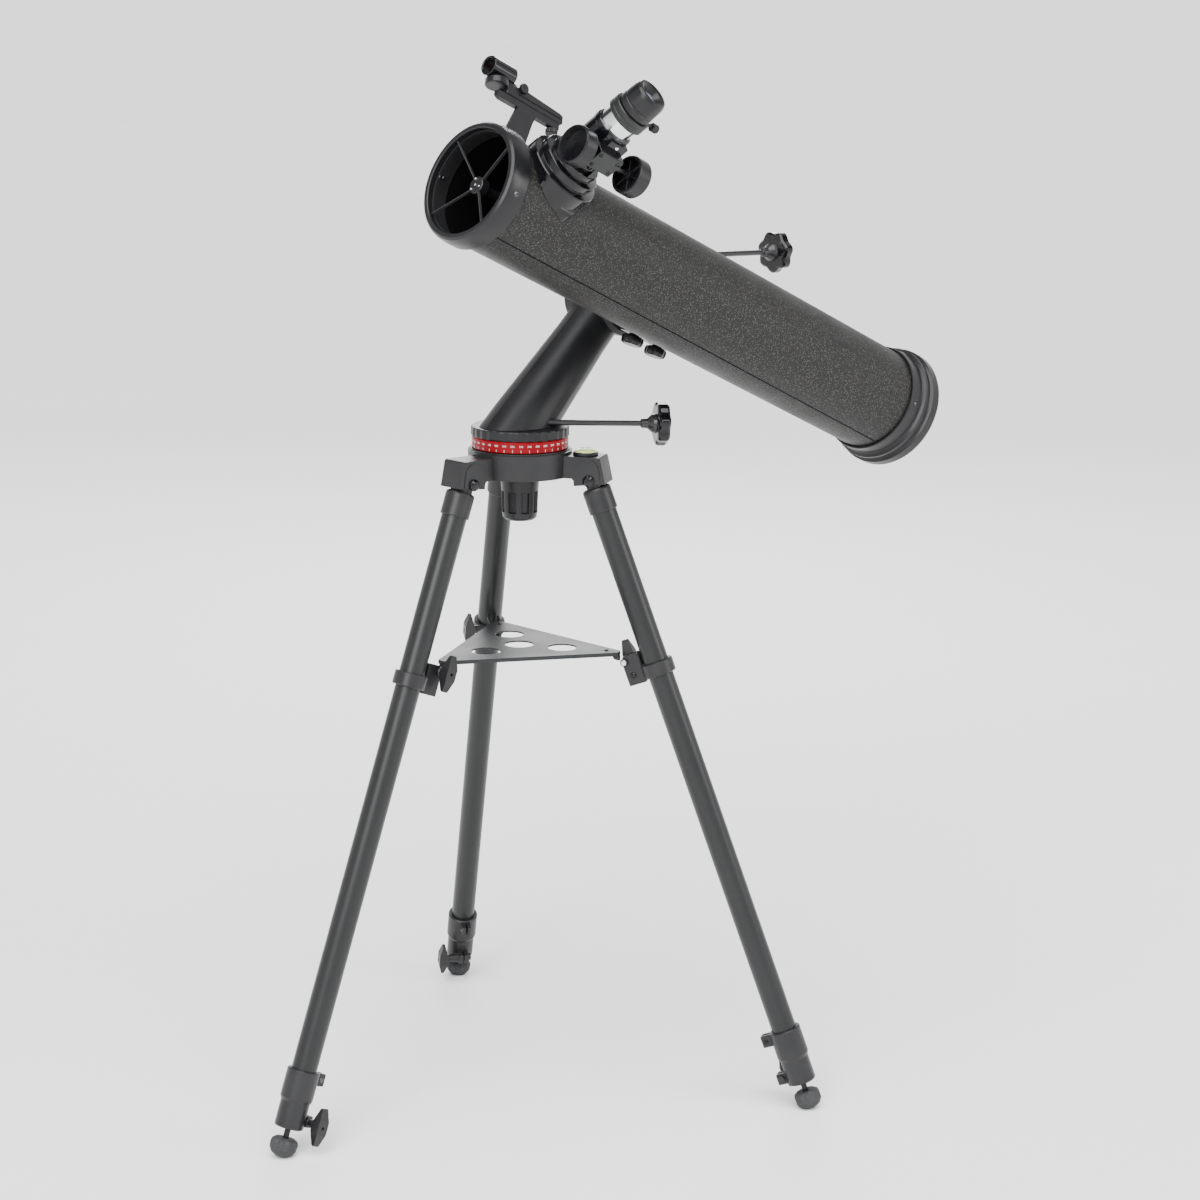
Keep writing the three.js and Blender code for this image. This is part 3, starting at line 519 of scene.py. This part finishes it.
def mount():
    for side in ("near", "far"):
        dress(f"arm_shell_{side}", PAINTS["arm"], 0.5)
    star_control("altitude_control", ALTITUDE_ROD, 241)
    star_control("azimuth_control", AZIMUTH_ROD, 140)
    dress("altitude_wheel", PAINTS["steel"], 0.4)
    dress("saddle", PAINTS["satin"], 0.6)
    dress("dovetail_bar", PAINTS["satin"], 0.5)
    for which, x in (("front", -6), ("rear", 29)):
        grip = turned([
            (0, -50.2), (8.6, -50.2), (10.6, -49.2), (11.4, -46.5), (11.4, -43.4), (10.6, -41.2),
            (6, -40.6), (4.8, -38.9), (2.6, -38.9), (2.6, -25.9), (0, -25.9),
        ], 144, 0.8, lobes=8, depth=1.3, band=(-49.6, -41))
        piece(f"clamp_knob_{which}", grip, SADDLE @ at(x, -58, 0), f"saddle_knob_{which}", PAINTS["satin"],
              [f"saddle_knob_{which}"])


# ---- optical tube ----
def radial(roll):
    """A frame on the tube's axis with Z out at this roll from the top towards the near side."""
    return AXIS @ spin(roll, "X")


def tube_wall():
    inside_wall = 53.4
    wall = turned(oblong(TUBE_INNER, TUBE_OUTER, TUBE_FRONT, TUBE_BACK), 192, 0.2)
    wrap = raw_object("tube_wall", wall, DOWN_TUBE)
    carve(wrap, (turned(oblong(0, 20.5, 30, 80), 64, 0), FOCUSER))
    finish_piece(wrap, "tube", PAINTS["tube"], ["main_tube"])
    wrap.data.materials.append(PAINTS["seam"][0])
    for face in wrap.data.polygons:
        if math.hypot(face.center.x, face.center.y) < inside_wall * MM:
            face.material_index = 1


def tube_seam():
    """The edge of the covering, a thin strip that drifts round the tube as it runs down it."""
    start, length, steps = 24, 580, 40
    first_roll, drift = 142, 7
    strip, faces = [], []
    for i in range(steps + 1):
        t = i / steps
        roll = math.radians(first_roll + drift * t)
        for aside, rise in ((-0.010, -0.3), (-0.008, 0.3), (0.008, 0.3), (0.010, -0.3)):
            a = roll + aside
            h = TUBE_OUTER + rise
            strip.append((start + t * length, -h * math.sin(a), h * math.cos(a)))
        if i:
            for k in range(4):
                j = (k + 1) % 4
                faces.append([4 * i - 4 + k, 4 * i - 4 + j, 4 * i + j, 4 * i + k])
    last = 4 * steps
    faces += [[0, 1, 2, 3], [last + 3, last + 2, last + 1, last]]
    piece("tube_seam", (strip, faces), AXIS, "tube", PAINTS["seam"])


def tube_mouth():
    piece("ring_front", turned([
        (51, 0.9), (51.8, 0), (55.2, 0), (57.2, 1.9), (58.5, 6.5), (59.1, 12.5), (59.1, 20.8), (58.3, 22),
        (54.4, 22), (54.4, 6.2), (51, 6.2),
    ], 192, 0.5), DOWN_TUBE, "tube", PAINTS["satin"], ["front_ring"])
    piece("mouth_baffle", turned([
        (52.5, 6.5), (52.5, 24), (51.9, 24), (51.9, 19), (51.3, 19), (51.3, 14.5), (50.7, 14.5), (50.7, 10.5),
        (50.0, 10.5), (50.0, 6.5),
    ], 160, 0.15), DOWN_TUBE, "tube", PAINTS["cast"])
    screw("ring_screw", 2.6, 1.5, radial(95) @ at(11, 0, 58.9), "tube", "steel")
    for k, (along, roll) in enumerate(((13.5, -85), (9.0, -86))):
        inwards = radial(roll) @ at(along, 0, 50.6) @ spin(180, "Y")
        screw(f"mouth_screw_{k}", 1.7, 1.2, inwards, "tube", "steel", cross=False)


def spider():
    """Four vanes, each a little askew, and the hub that holds the diagonal mirror."""
    vanes = []
    for i in range(4):
        blade = prism(oblong(-1.5, 1.5, -0.4, 0.4), 4, 51.5, 0.15, 0.1)
        vanes.append(shifted(blade, spin(PORT_ROLL + i * 90, "X") @ spin(-12.5, "Y")))
    middle = AXIS @ at(14.5, 0, 0)
    piece("spider_vanes", together(*vanes), middle, "tube", PAINTS["vane"], ["spider"])
    hub = turned([(0, -3.4), (7.6, -3.4), (8.5, -2.6), (8.5, 6), (0, 6)], 64, 0.6)
    piece("spider_hub", hub, middle @ ALONG_X, "tube", PAINTS["satin"])
    face = AXIS @ at(11.0, 0, 0) @ spin(-90, "Y")
    screw("spider_screw_centre", 1.2, 1.3, face, "tube", "chrome", cross=False)
    for k in range(3):
        a = math.radians(20 + 120 * k)
        spot = face @ at(5.9 * math.cos(a), 5.9 * math.sin(a), 0)
        screw(f"spider_screw_{k}", 1.2, 1.4, spot, "tube", "chrome", cross=False)
    dress("secondary_mirror", PAINTS["satin"], 0.3)
    turns = [k * math.pi / 32 for k in range(64)]
    ellipse = [(17.3 * math.cos(a), 12.2 * math.sin(a)) for a in turns]
    diagonal = prism(ellipse, -0.4, 0.9, 0, 0.3)
    piece("diagonal_glass", diagonal, FOCUSER @ spin(45, "Y"), "tube", PAINTS["mirror"])


def rear_end():
    piece("cell_rear", turned([
        (0, 638), (50, 638), (50, 615.8), (54.4, 615.8), (54.4, 606.4), (56.4, 606.4), (57, 607.4),
        (57, 621), (58, 622.4), (61, 624), (61, 627), (60, 628), (60, 631.4), (61.4, 632.6), (63.2, 633.6),
        (63.2, 642.6), (61.8, 645.2), (58, 646.6), (50, 646.6), (49, 645.4), (0, 645.4),
    ], 192, 0.5), DOWN_TUBE, "tube", PAINTS["satin"], ["rear_cell"])
    for k in range(3):
        a = math.radians(90 + 120 * k)
        spot = DOWN_TUBE @ at(36 * math.cos(a), 36 * math.sin(a), 645.4)
        screw(f"cell_screw_{k}", 3.4, 1.2, spot, "tube", "steel")
    screw("cell_side_screw", 2.0, 1.2, radial(88) @ at(614, 0, 57), "tube", "steel")
    piece("main_mirror", turned([
        (0, 627.5), (12, 627.4), (26, 626.8), (37.4, 626), (38.5, 627), (38.5, 636), (42.5, 636),
        (42.5, 637.7), (0, 637.7),
    ], 128, 0.3), DOWN_TUBE, "tube", PAINTS["mirror"], ["primary_mirror"])


# ---- focuser ----
def sleeve_block(x0, x1, y0, z0, z1):
    """A block on the near side of the focuser's sleeve, following its bore."""
    inner = 17.5
    outline = [(x0, y0), (x1, y0)]
    start = math.atan2(-math.sqrt(inner**2 - x1**2), x1)
    end = math.atan2(-math.sqrt(inner**2 - x0**2), x0)
    for i in range(13):
        a = start + (end - start) * i / 12
        outline.append((inner * math.cos(a), inner * math.sin(a)))
    return prism(outline, z0, z1, 0.6, 0.5)


def focuser_base():
    """A skirt that follows the tube, and the round steps that stand on it."""
    skirt_outline = [(-32, -24), (8, -43), (37, -21), (37, 22), (0, 39), (-32, 22)]
    skirt = raw_object("focuser_skirt", turned(oblong(CLEAR_OF_TUBE, 59.4, -37, 37), 192, 0), ACROSS_PORT)
    carve(skirt, (prism(skirt_outline, 5, 75, 9.0, 0.1), FOCUSER), keep=True)
    carve(skirt, (turned(oblong(0, 18, 5, 90), 64, 0), FOCUSER))
    finish_piece(skirt, "tube", PAINTS["gloss"])
    base = raw_object("focuser_steps", turned([
        (17.6, 36), (37.6, 36), (37.6, 60.6), (36.8, 61.6), (31.4, 62.6), (31.2, 70.0), (30.6, 70.8),
        (25.4, 71.8), (25.2, 78.1), (24.6, 78.7), (17.6, 78.7),
    ], 160, 0.5), FOCUSER)
    carve(base, (turned(oblong(0, CLEAR_OF_TUBE, -80, 80), 192, 0), ACROSS_PORT))
    finish_piece(base, "tube", PAINTS["gloss"], ["focuser_base"])


def focuser_sleeve():
    """The sleeve with the pinion's housing on its near side, its cover and the screws."""
    sleeve = turned([
        (17.3, 79), (19.2, 79), (19.2, 118.6), (20.0, 119.6), (20.0, 124.2), (19.2, 125), (17.3, 125),
    ], 128, 0.3)
    housing = sleeve_block(-15, 15, -28.4, 91.5, 112.5)
    step = sleeve_block(-9, 13, -22, 110, 122)
    body = together(sleeve, housing, step)
    piece("focuser_sleeve", body, FOCUSER, "tube", PAINTS["gloss"], ["focuser_body"])
    plate_place = FOCUSER @ at(0, -28.0, 102) @ UPRIGHT
    plate = prism(oblong(-15, 15, -10, 10), 0, 1.6, 1.6, 0.4)
    piece("pinion_cover", plate, plate_place, "tube", PAINTS["leg"])
    for k, (x, z) in enumerate(oblong(-11, 11, -6.2, 6.2)):
        screw(f"cover_screw_{k}", 2.1, 1.3, plate_place @ at(x, z, 1.5), "tube", "gloss")
    screw("sleeve_screw", 1.9, 1.2, FOCUSER @ at(2, -21.8, 117.5) @ UPRIGHT, "tube", "chrome")
    screw("tension_screw", 2.6, 3.0, FOCUSER @ at(0, -19.0, 86) @ UPRIGHT, "tube", "gloss")
    for k, (x, y) in enumerate(((-25.5, -22.5), (29, -22.5), (29, 20), (-25.5, 20))):
        lean = PORT_ROLL - math.degrees(math.asin(y / 59.3))
        spot = AXIS @ at(PORT + x, 0, 0) @ spin(lean, "X") @ at(0, 0, 59.2)
        screw(f"skirt_screw_{k}", 2.6, 1.4, spot, "tube", "gloss")


def drawtube():
    """The sliding tube with its collar and thumb screw, and the eyepiece in it."""
    slider = turned([(16.2, 58), (16.8, 57.8), (17.1, 58.4), (17.1, 137.6), (16.2, 137.6)], 128, 0.1)
    piece("draw_chrome", slider, FOCUSER, "drawtube", PAINTS["chrome"], ["drawtube"])
    thumb_place = FOCUSER @ at(0, 0, THUMB_SCREW_AT) @ ALONG_X
    collar = raw_object("draw_collar", turned([
        (16.2, 137.2), (19.2, 137.2), (20, 138), (20, 141.6), (19.6, 142), (19.6, 143.4), (20, 143.8),
        (20, 147.6), (19.2, 148.5), (16.2, 148.5),
    ], 128, 0.2), FOCUSER)
    carve(collar, (turned(oblong(0, 1.9, 0, 40), 32, 0), thumb_place))
    finish_piece(collar, "drawtube", PAINTS["leg"])
    piece("eyepiece_body", turned([
        (14.2, 118), (15.85, 118), (15.85, 148.8), (17.0, 148.8), (17.5, 149.6), (17.8, 153), (17.7, 155.4),
        (17.0, 156), (17.0, 157.2), (17.6, 157.8), (17.2, 167.6), (16.6, 170.4), (15.2, 172.6), (13.6, 173),
        (10.4, 171.8), (8.6, 169.4), (7.4, 167.2), (7.4, 156), (14.2, 156),
    ], 128, 0.3), FOCUSER, "eyepiece", PAINTS["satin"], ["eyepiece"])
    lens = turned([(0, 163), (7.4, 163), (7.4, 167), (4, 168.4), (0, 168.8)], 64, 0.2)
    piece("eyepiece_lens", lens, FOCUSER, "eyepiece", PAINTS["lens"])
    thumb = turned([
        (0, 16.5), (1.6, 16.5), (1.6, 29), (3.2, 29.4), (4.2, 30.4), (4.2, 36.4), (3.4, 37.6), (0, 37.6),
    ], 120, 0.3, lobes=20, depth=0.4, band=(30.6, 36.2))
    piece("thumb_screw", thumb, thumb_place, "eyepiece_screw", PAINTS["satin"], ["eyepiece_screw"])


def focus_wheels():
    """The pinion on its axle, and the two knurled wheels with ribs behind their dishes."""
    shaft = FOCUSER @ at(0, -21.5, 100.3) @ ALONG_X
    gear = turned(oblong(0, 3.6, -8.5, 8.5), 120, 0.2, lobes=12, depth=1.0)
    axle = turned(oblong(0, 2.3, -33.5, 44), 48, 0.3)
    piece("pinion_axle", together(axle, gear), shaft, "pinion", PAINTS["steel"], ["pinion_shaft"])
    knob = turned([
        (2.6, -7.5), (4.8, -7.5), (4.8, 0.4), (15.8, 0.4), (15.8, -7.4), (17.6, -7.4), (18.5, -6.4),
        (18.5, 6.2), (17.8, 7.4), (16.6, 7.4), (16.2, 2.4), (2.6, 2.4),
    ], 300, 0.2, lobes=60, depth=0.45, band=(-6.3, 6.1))
    dish = turned([(0, 1.4), (16.0, 1.4), (16.0, 2.6), (14.6, 3.0), (4, 2.6), (0, 2.6)], 96, 0.3)
    rib = prism(oblong(4.4, 16.2, -0.6, 0.6), -5.2, 1.2, 0.2, 0.2)
    ribs = [shifted(rib, spin(60 * i, "Z")) for i in range(6)]
    for which, place_at, facing in (("front", -31, spin(180, "X")), ("rear", 41.5, BASE)):
        turn = shaft @ at(0, 0, place_at) @ facing
        wheel = together(knob, *ribs)
        piece(f"focus_wheel_{which}", wheel, turn, "pinion", PAINTS["satin"], [f"focus_knob_{which}"])
        piece(f"focus_dish_{which}", dish, turn, "pinion", PAINTS["gloss"])


# ---- finder ----
def finder():
    dress("finder_bracket", PAINTS["satin"], 0.35)
    sight = FINDER @ at(0, 0, SIGHT_AT) @ ALONG_X
    barrel = turned([
        (7.5, 11), (8.0, 10.5), (9.2, 10.5), (9.7, 11.1), (9.7, 39.4), (8.9, 40.6), (7.5, 41),
    ], 96, 0.3)
    piece("sight_tube", barrel, sight, "tube", PAINTS["gloss"])
    pane = turned([(0, 15), (7.6, 15), (7.6, 16.4), (4, 17.2), (0, 17.4)], 64, 0.1)
    piece("sight_glass", pane, sight, "tube", PAINTS["sight_lens"])
    side = FINDER @ UPRIGHT
    rail = [(32, 100), (107.5, 100), (107.5, 108.8), (102, 110.2), (58, 113), (44, 112), (32, 111)]
    body = raw_object("sight_rail", prism(rail, -6.5, 6.5, 1.6, 0.8), side)
    carve(body, (prism(oblong(46, 104, 103.5, 105.3), 5.6, 9, 0.5, 0.1), side))
    finish_piece(body, "tube", PAINTS["satin"], ["finder_sight"])
    neck = prism([(16, 105), (46, 105), (46, 113.6), (40, 115), (16, 114)], -5, 5, 1.0, 0.6)
    piece("sight_neck", neck, side, "tube", PAINTS["satin"])
    piece("battery_cap", turned([
        (0, 104.5), (10, 104.5), (11, 105.4), (11, 110.6), (10.4, 111.6), (8.4, 112.2), (8, 111.6),
        (0, 111.6),
    ], 120, 0.3), FINDER @ at(23.5, 0, 0), "tube", PAINTS["satin"])
    wheel = turned([
        (0, 0), (4.6, 0), (5, 0.6), (5, 3.4), (4.4, 4), (0, 4),
    ], 120, 0.2, lobes=24, depth=0.4, band=(0.5, 3.5))
    piece("sight_dial", wheel, FINDER @ at(51, -6.3, 112) @ UPRIGHT, "tube", PAINTS["satin"])
    adjuster = turned([
        (0, 0), (5.2, 0), (6, 0.8), (6, 4.6), (5, 5.6), (0, 5.6),
    ], 120, 0.3, lobes=18, depth=0.5, band=(0.6, 4.8))
    piece("sight_adjuster", adjuster, FINDER @ at(98, -2, 87.2), "tube", PAINTS["satin"])


# ---- legs ----
def wing_screw(node, place, head_at, neck, length):
    """A wing handle on a screw along Y, its wings along Z, with a small dimple in its end."""
    near = head_at + neck
    far = near + 13
    half = length / 2
    side = [
        (-4.5, near + 2.5), (4.5, near + 2.5), (half - 1.5, near + 6.5), (half, near + 9.5),
        (7, far), (-7, far), (-half, near + 9.5), (1.5 - half, near + 6.5),
    ]
    front = [
        (-3.2, -half), (3.2, -half), (6.2, -5), (6.2, 5), (3.2, half), (-3.2, half), (-6.2, 5), (-6.2, -5),
    ]
    wings = raw_object(f"{node}_wings", shifted(prism(side, -8, 8, 1.4, 0.1), spin(-90, "Y")), place)
    carve(wings, (prism(front, -far - 1, -near, 1.0, 0.1), place @ UPRIGHT), keep=True)
    carve(wings, (turned(oblong(0, 1.6, far - 2.5, far + 1), 24, 0), place @ ALONG_Y))
    soften = wings.modifiers.new("edge", "BEVEL")
    soften.width = 0.5 * MM
    soften.segments = 2
    soften.limit_method = "ANGLE"
    soften.angle_limit = math.radians(30)
    finish_piece(wings, node, PAINTS["cast"])
    screw_line = turned([
        (0, -head_at - 2.8), (3.8, -head_at - 2.8), (3.8, -head_at), (2.5, -head_at), (2.5, head_at),
        (5.0, head_at), (5.0, head_at + 2), (4.2, head_at + 3), (4.4, near + 3), (0, near + 3),
    ], 48, 0.3)
    piece(f"{node}_screw", screw_line, place @ ALONG_Y, node, PAINTS["cast"], [node])


def leg_top(leg, along):
    """The socket with its hinge tongue, and the upper tube in it."""
    body = f"leg_{leg}"
    sleeve = turned([
        (0, -9), (12.0, -9), (13.7, -9.9), (14.5, -11.8), (14.5, -33.2), (14.0, -34), (12.75, -34),
        (12.75, -15.5), (0, -15.5),
    ], 96, 0.3)
    turns = [k * math.pi / 12 for k in range(13)]
    tongue = [(-6.5, -12), (6.5, -12)]
    tongue += [(6.5 * math.cos(a), 6.5 * math.sin(a)) for a in turns]
    socket = together(sleeve, shifted(prism(tongue, -9.5, 9.5, 0, 0.5), UPRIGHT))
    piece(f"socket_{leg}", socket, along, body, PAINTS["cast"], [f"leg_socket_{leg}"])
    upper = turned(oblong(11.3, 12.7, -632.5, -16), 96, 0.3)
    piece(f"leg_upper_{leg}", upper, along, body, PAINTS["leg"], [f"upper_leg_{leg}"])


def leg_lock(leg, along):
    """The collar with two pairs of ears, and the screw and nut that close the upper pair."""
    body = f"leg_{leg}"
    collar = turned([
        (12.8, -595), (15.4, -595), (16.3, -595.9), (16.3, -623.4), (14.6, -627), (14.6, -651.8),
        (13.6, -653), (11.0, -653), (11.0, -632.9), (12.8, -632.9),
    ], 96, 0.4)
    upper_ear, lower_ear = oblong(-26, -13.5, -609, -596.5), oblong(-23.5, -11.5, -650.8, -639.3)
    ears = []
    for low, high in ((-5, -1), (1, 5)):
        ears.append(shifted(prism(upper_ear, low, high, 1.2, 0.4), UPRIGHT))
    for low, high in ((-5.5, -1), (1, 5.5)):
        ears.append(shifted(prism(lower_ear, low, high, 1.4, 0.4), UPRIGHT))
    piece(f"collar_{leg}", together(collar, *ears), along, body, PAINTS["cast"], [f"lock_collar_{leg}"])
    bolt = along @ at(-21.4, 0, -602.8)
    screw(f"collar_screw_{leg}", 2.6, 1.3, bolt @ at(0, -4.9, 0) @ UPRIGHT, body, "gloss")
    screw(f"collar_nut_{leg}", 2.8, 1.2, bolt @ at(0, 4.9, 0) @ ALONG_Y, body, "steel", cross=False)


def leg_bottom(leg, along):
    body = f"lower_leg_{leg}"
    lower = turned([
        (0, -669.1), (3, -669.1), (3, -651.5), (10.6, -651.5), (10.6, -92), (9.3, -92), (9.3, -643.5),
        (0, -643.5),
    ], 64, 0.3)
    piece(f"leg_lower_{leg}", lower, along, body, PAINTS["satin"], [body])
    foot = turned([
        (0, -669.6), (3.4, -669.6), (3.4, -663.6), (9.5, -663.3), (12.8, -665.4), (13.9, -668.6),
        (13.3, -674.8), (10.6, -679.2), (6, -681.9), (0, -682.9),
    ], 160, 1.0, lobes=10, depth=1.4, band=(-673, -663.5))
    piece(f"foot_rubber_{leg}", foot, along, body, PAINTS["rubber"], [f"foot_{leg}"])


def leg_clamp(leg, along):
    """The band with two cheeks that holds the tray's corner, and both of the leg's winged screws."""
    clamp = along @ at(0, 0, -CLAMP_AT)
    wing_screw(f"lock_knob_{leg}", along @ at(LOCK_X, 0, LOCK_Z), 5.8, 9.5, 39)
    wing_screw(f"tray_wing_bolt_{leg}", clamp @ at(PIN_X, 0, PIN_Z), 6.8, WING_NECKS[leg], 38)
    band = turned([
        (12.75, -7), (15.6, -7), (16.5, -6.2), (16.5, 6.2), (15.6, 7), (12.75, 7),
    ], 96, 0.4)
    cheek = [(-33, -10), (-33, 17), (-30, 21), (-14.5, 21), (-14.5, 7), (-13, 7), (-13, -7), (-14.5, -10)]
    plates = [shifted(prism(cheek, low, low + 2.5, 1.0, 0.35), UPRIGHT) for low in (-6.5, 4)]
    piece(f"clamp_{leg}", together(band, *plates), clamp, f"leg_{leg}", PAINTS["cast"], [f"tray_clamp_{leg}"])
    screw(f"clamp_screw_{leg}", 3.2, 1.6, clamp @ at(-25.6, -6.4, 0) @ UPRIGHT, f"leg_{leg}", "gloss")
    tip = clamp @ at(PIN_X, -9.4, PIN_Z) @ UPRIGHT
    screw(f"wing_tip_{leg}", 2.9, 1.2, tip, f"tray_wing_bolt_{leg}", "chrome", cross=False)
    turns = [k * math.pi / 3 for k in range(6)]
    nut = prism([(4.2 * math.cos(a), 4.2 * math.sin(a)) for a in turns], 0, 2.6, 0.3, 0.3)
    nut_place = along @ at(LOCK_X, -5.9, LOCK_Z) @ UPRIGHT
    piece(f"lock_nut_{leg}", nut, nut_place, f"lock_knob_{leg}", PAINTS["steel"])


def tray():
    dress("accessory_tray", PAINTS["tray"], 0.5)
    for leg, azimuth in LEGS.items():
        spot = spin(azimuth, "Z") @ at(92, 0, TRAY_TOP)
        screw(f"tray_rivet_{leg}", 2.2, 1.5, spot, "tray", "satin", cross=False)


tripod_head()
dial_and_turntable()
mount()
tube_wall()
tube_seam()
tube_mouth()
spider()
rear_end()
focuser_base()
focuser_sleeve()
drawtube()
focus_wheels()
finder()
for each in LEGS:
    leg_frame = leg_place(each)
    leg_top(each, leg_frame)
    leg_lock(each, leg_frame)
    leg_bottom(each, leg_frame)
    leg_clamp(each, leg_frame)
tray()


# ---- floor, light and camera ----
def ground():
    radius = 400
    turns = [k * math.pi / 32 for k in range(64)]
    mesh = bpy.data.meshes.new("floor")
    mesh.from_pydata([(radius * math.cos(a), radius * math.sin(a), 0) for a in turns], [], [list(range(64))])
    floor = bpy.data.objects.new("floor", mesh)
    bpy.context.scene.collection.objects.link(floor)
    paper = finish("floor_paper", (0.86, 0.86, 0.86), (0.90, 0.90, 0.90), 0.9, 0.03,
                   grain=300.0, bump=0.02, patch=0.7, specular=0.1)
    mesh.materials.append(paper)


def surroundings():
    """Five bright upright panels all round, above a plain pale band along the horizon."""
    world = bpy.data.worlds.new("studio")
    world.use_nodes = True
    tree = world.node_tree
    back = tree.nodes["Background"]
    back.inputs["Strength"].default_value = 0.9
    coord = tree.nodes.new("ShaderNodeTexCoord")
    parts = linked(tree, "ShaderNodeSeparateXYZ", Vector=coord.outputs["Generated"]).outputs
    heading = maths(tree, "ARCTAN2", parts["X"], parts["Y"])
    wave = maths(tree, "SINE", maths(tree, "MULTIPLY", heading, 5.0))
    panels = linked(tree, "ShaderNodeValToRGB", Fac=remap(tree, wave, -1.0, 1.0))
    dark, bright = panels.color_ramp.elements
    dark.position, dark.color = 0.48, colour((0.10, 0.10, 0.10))
    bright.position, bright.color = 0.72, colour((1.0, 1.0, 1.0))
    height = remap(tree, parts["Z"], 0.28, 0.45)
    sky = mixed(tree, height, colour((1.6, 1.6, 1.6)), panels.outputs["Color"])
    tree.links.new(sky, back.inputs["Color"])
    bpy.context.scene.world = world


def lamps():
    for name, kind, place, size, power in (
        ("sky", "SUN", (-1.0, -1.2, 3.4), math.radians(60), 5.2),
        ("key", "AREA", (-2.4, -1.2, 1.9), 1.5, 70),
        ("fill", "AREA", (1.4, -2.6, 1.5), 1.3, 34),
        ("rim", "AREA", (2.0, 2.2, 2.2), 1.4, 60),
    ):
        light = bpy.data.lights.new(name, kind)
        if kind == "SUN":
            light.angle = size
        else:
            light.size = size
        light.energy = power
        lamp = bpy.data.objects.new(name, light)
        bpy.context.scene.collection.objects.link(lamp)
        lamp.location = place
        aim = Vector((0, 0, 0.65)) - Vector(place)
        lamp.rotation_mode = "QUATERNION"
        lamp.rotation_quaternion = aim.to_track_quat("-Z", "Y")


def camera():
    pan, tilt, roll, turn = (math.radians(v) for v in (1.686, 12.501, 0.590, 41.1))

    def to_part(v):
        x = v.x * math.cos(turn) + v.y * math.sin(turn)
        y = -v.x * math.sin(turn) + v.y * math.cos(turn)
        return Vector((x, y, v.z))

    forward = Vector((math.sin(pan) * math.cos(tilt), math.cos(pan) * math.cos(tilt), -math.sin(tilt)))
    right = Vector((math.cos(pan), -math.sin(pan), 0))
    up = right.cross(forward)
    right, up = right * math.cos(roll) + up * math.sin(roll), up * math.cos(roll) - right * math.sin(roll)
    x, y, z = to_part(right), to_part(up), to_part(-forward)
    data = bpy.data.cameras.new("camera")
    data.lens = 84.06
    data.sensor_width = 36
    data.clip_start = 0.05
    data.clip_end = 900
    made = bpy.data.objects.new("camera", data)
    bpy.context.scene.collection.objects.link(made)
    place = Matrix((x, y, z)).transposed().to_4x4()
    place.translation = Vector((ORIGIN.x, ORIGIN.y, 0)) + Vector((-1.8244, -2.0914, 1.1268))
    made.matrix_world = place
    bpy.context.scene.camera = made


ground()
surroundings()
lamps()
camera()
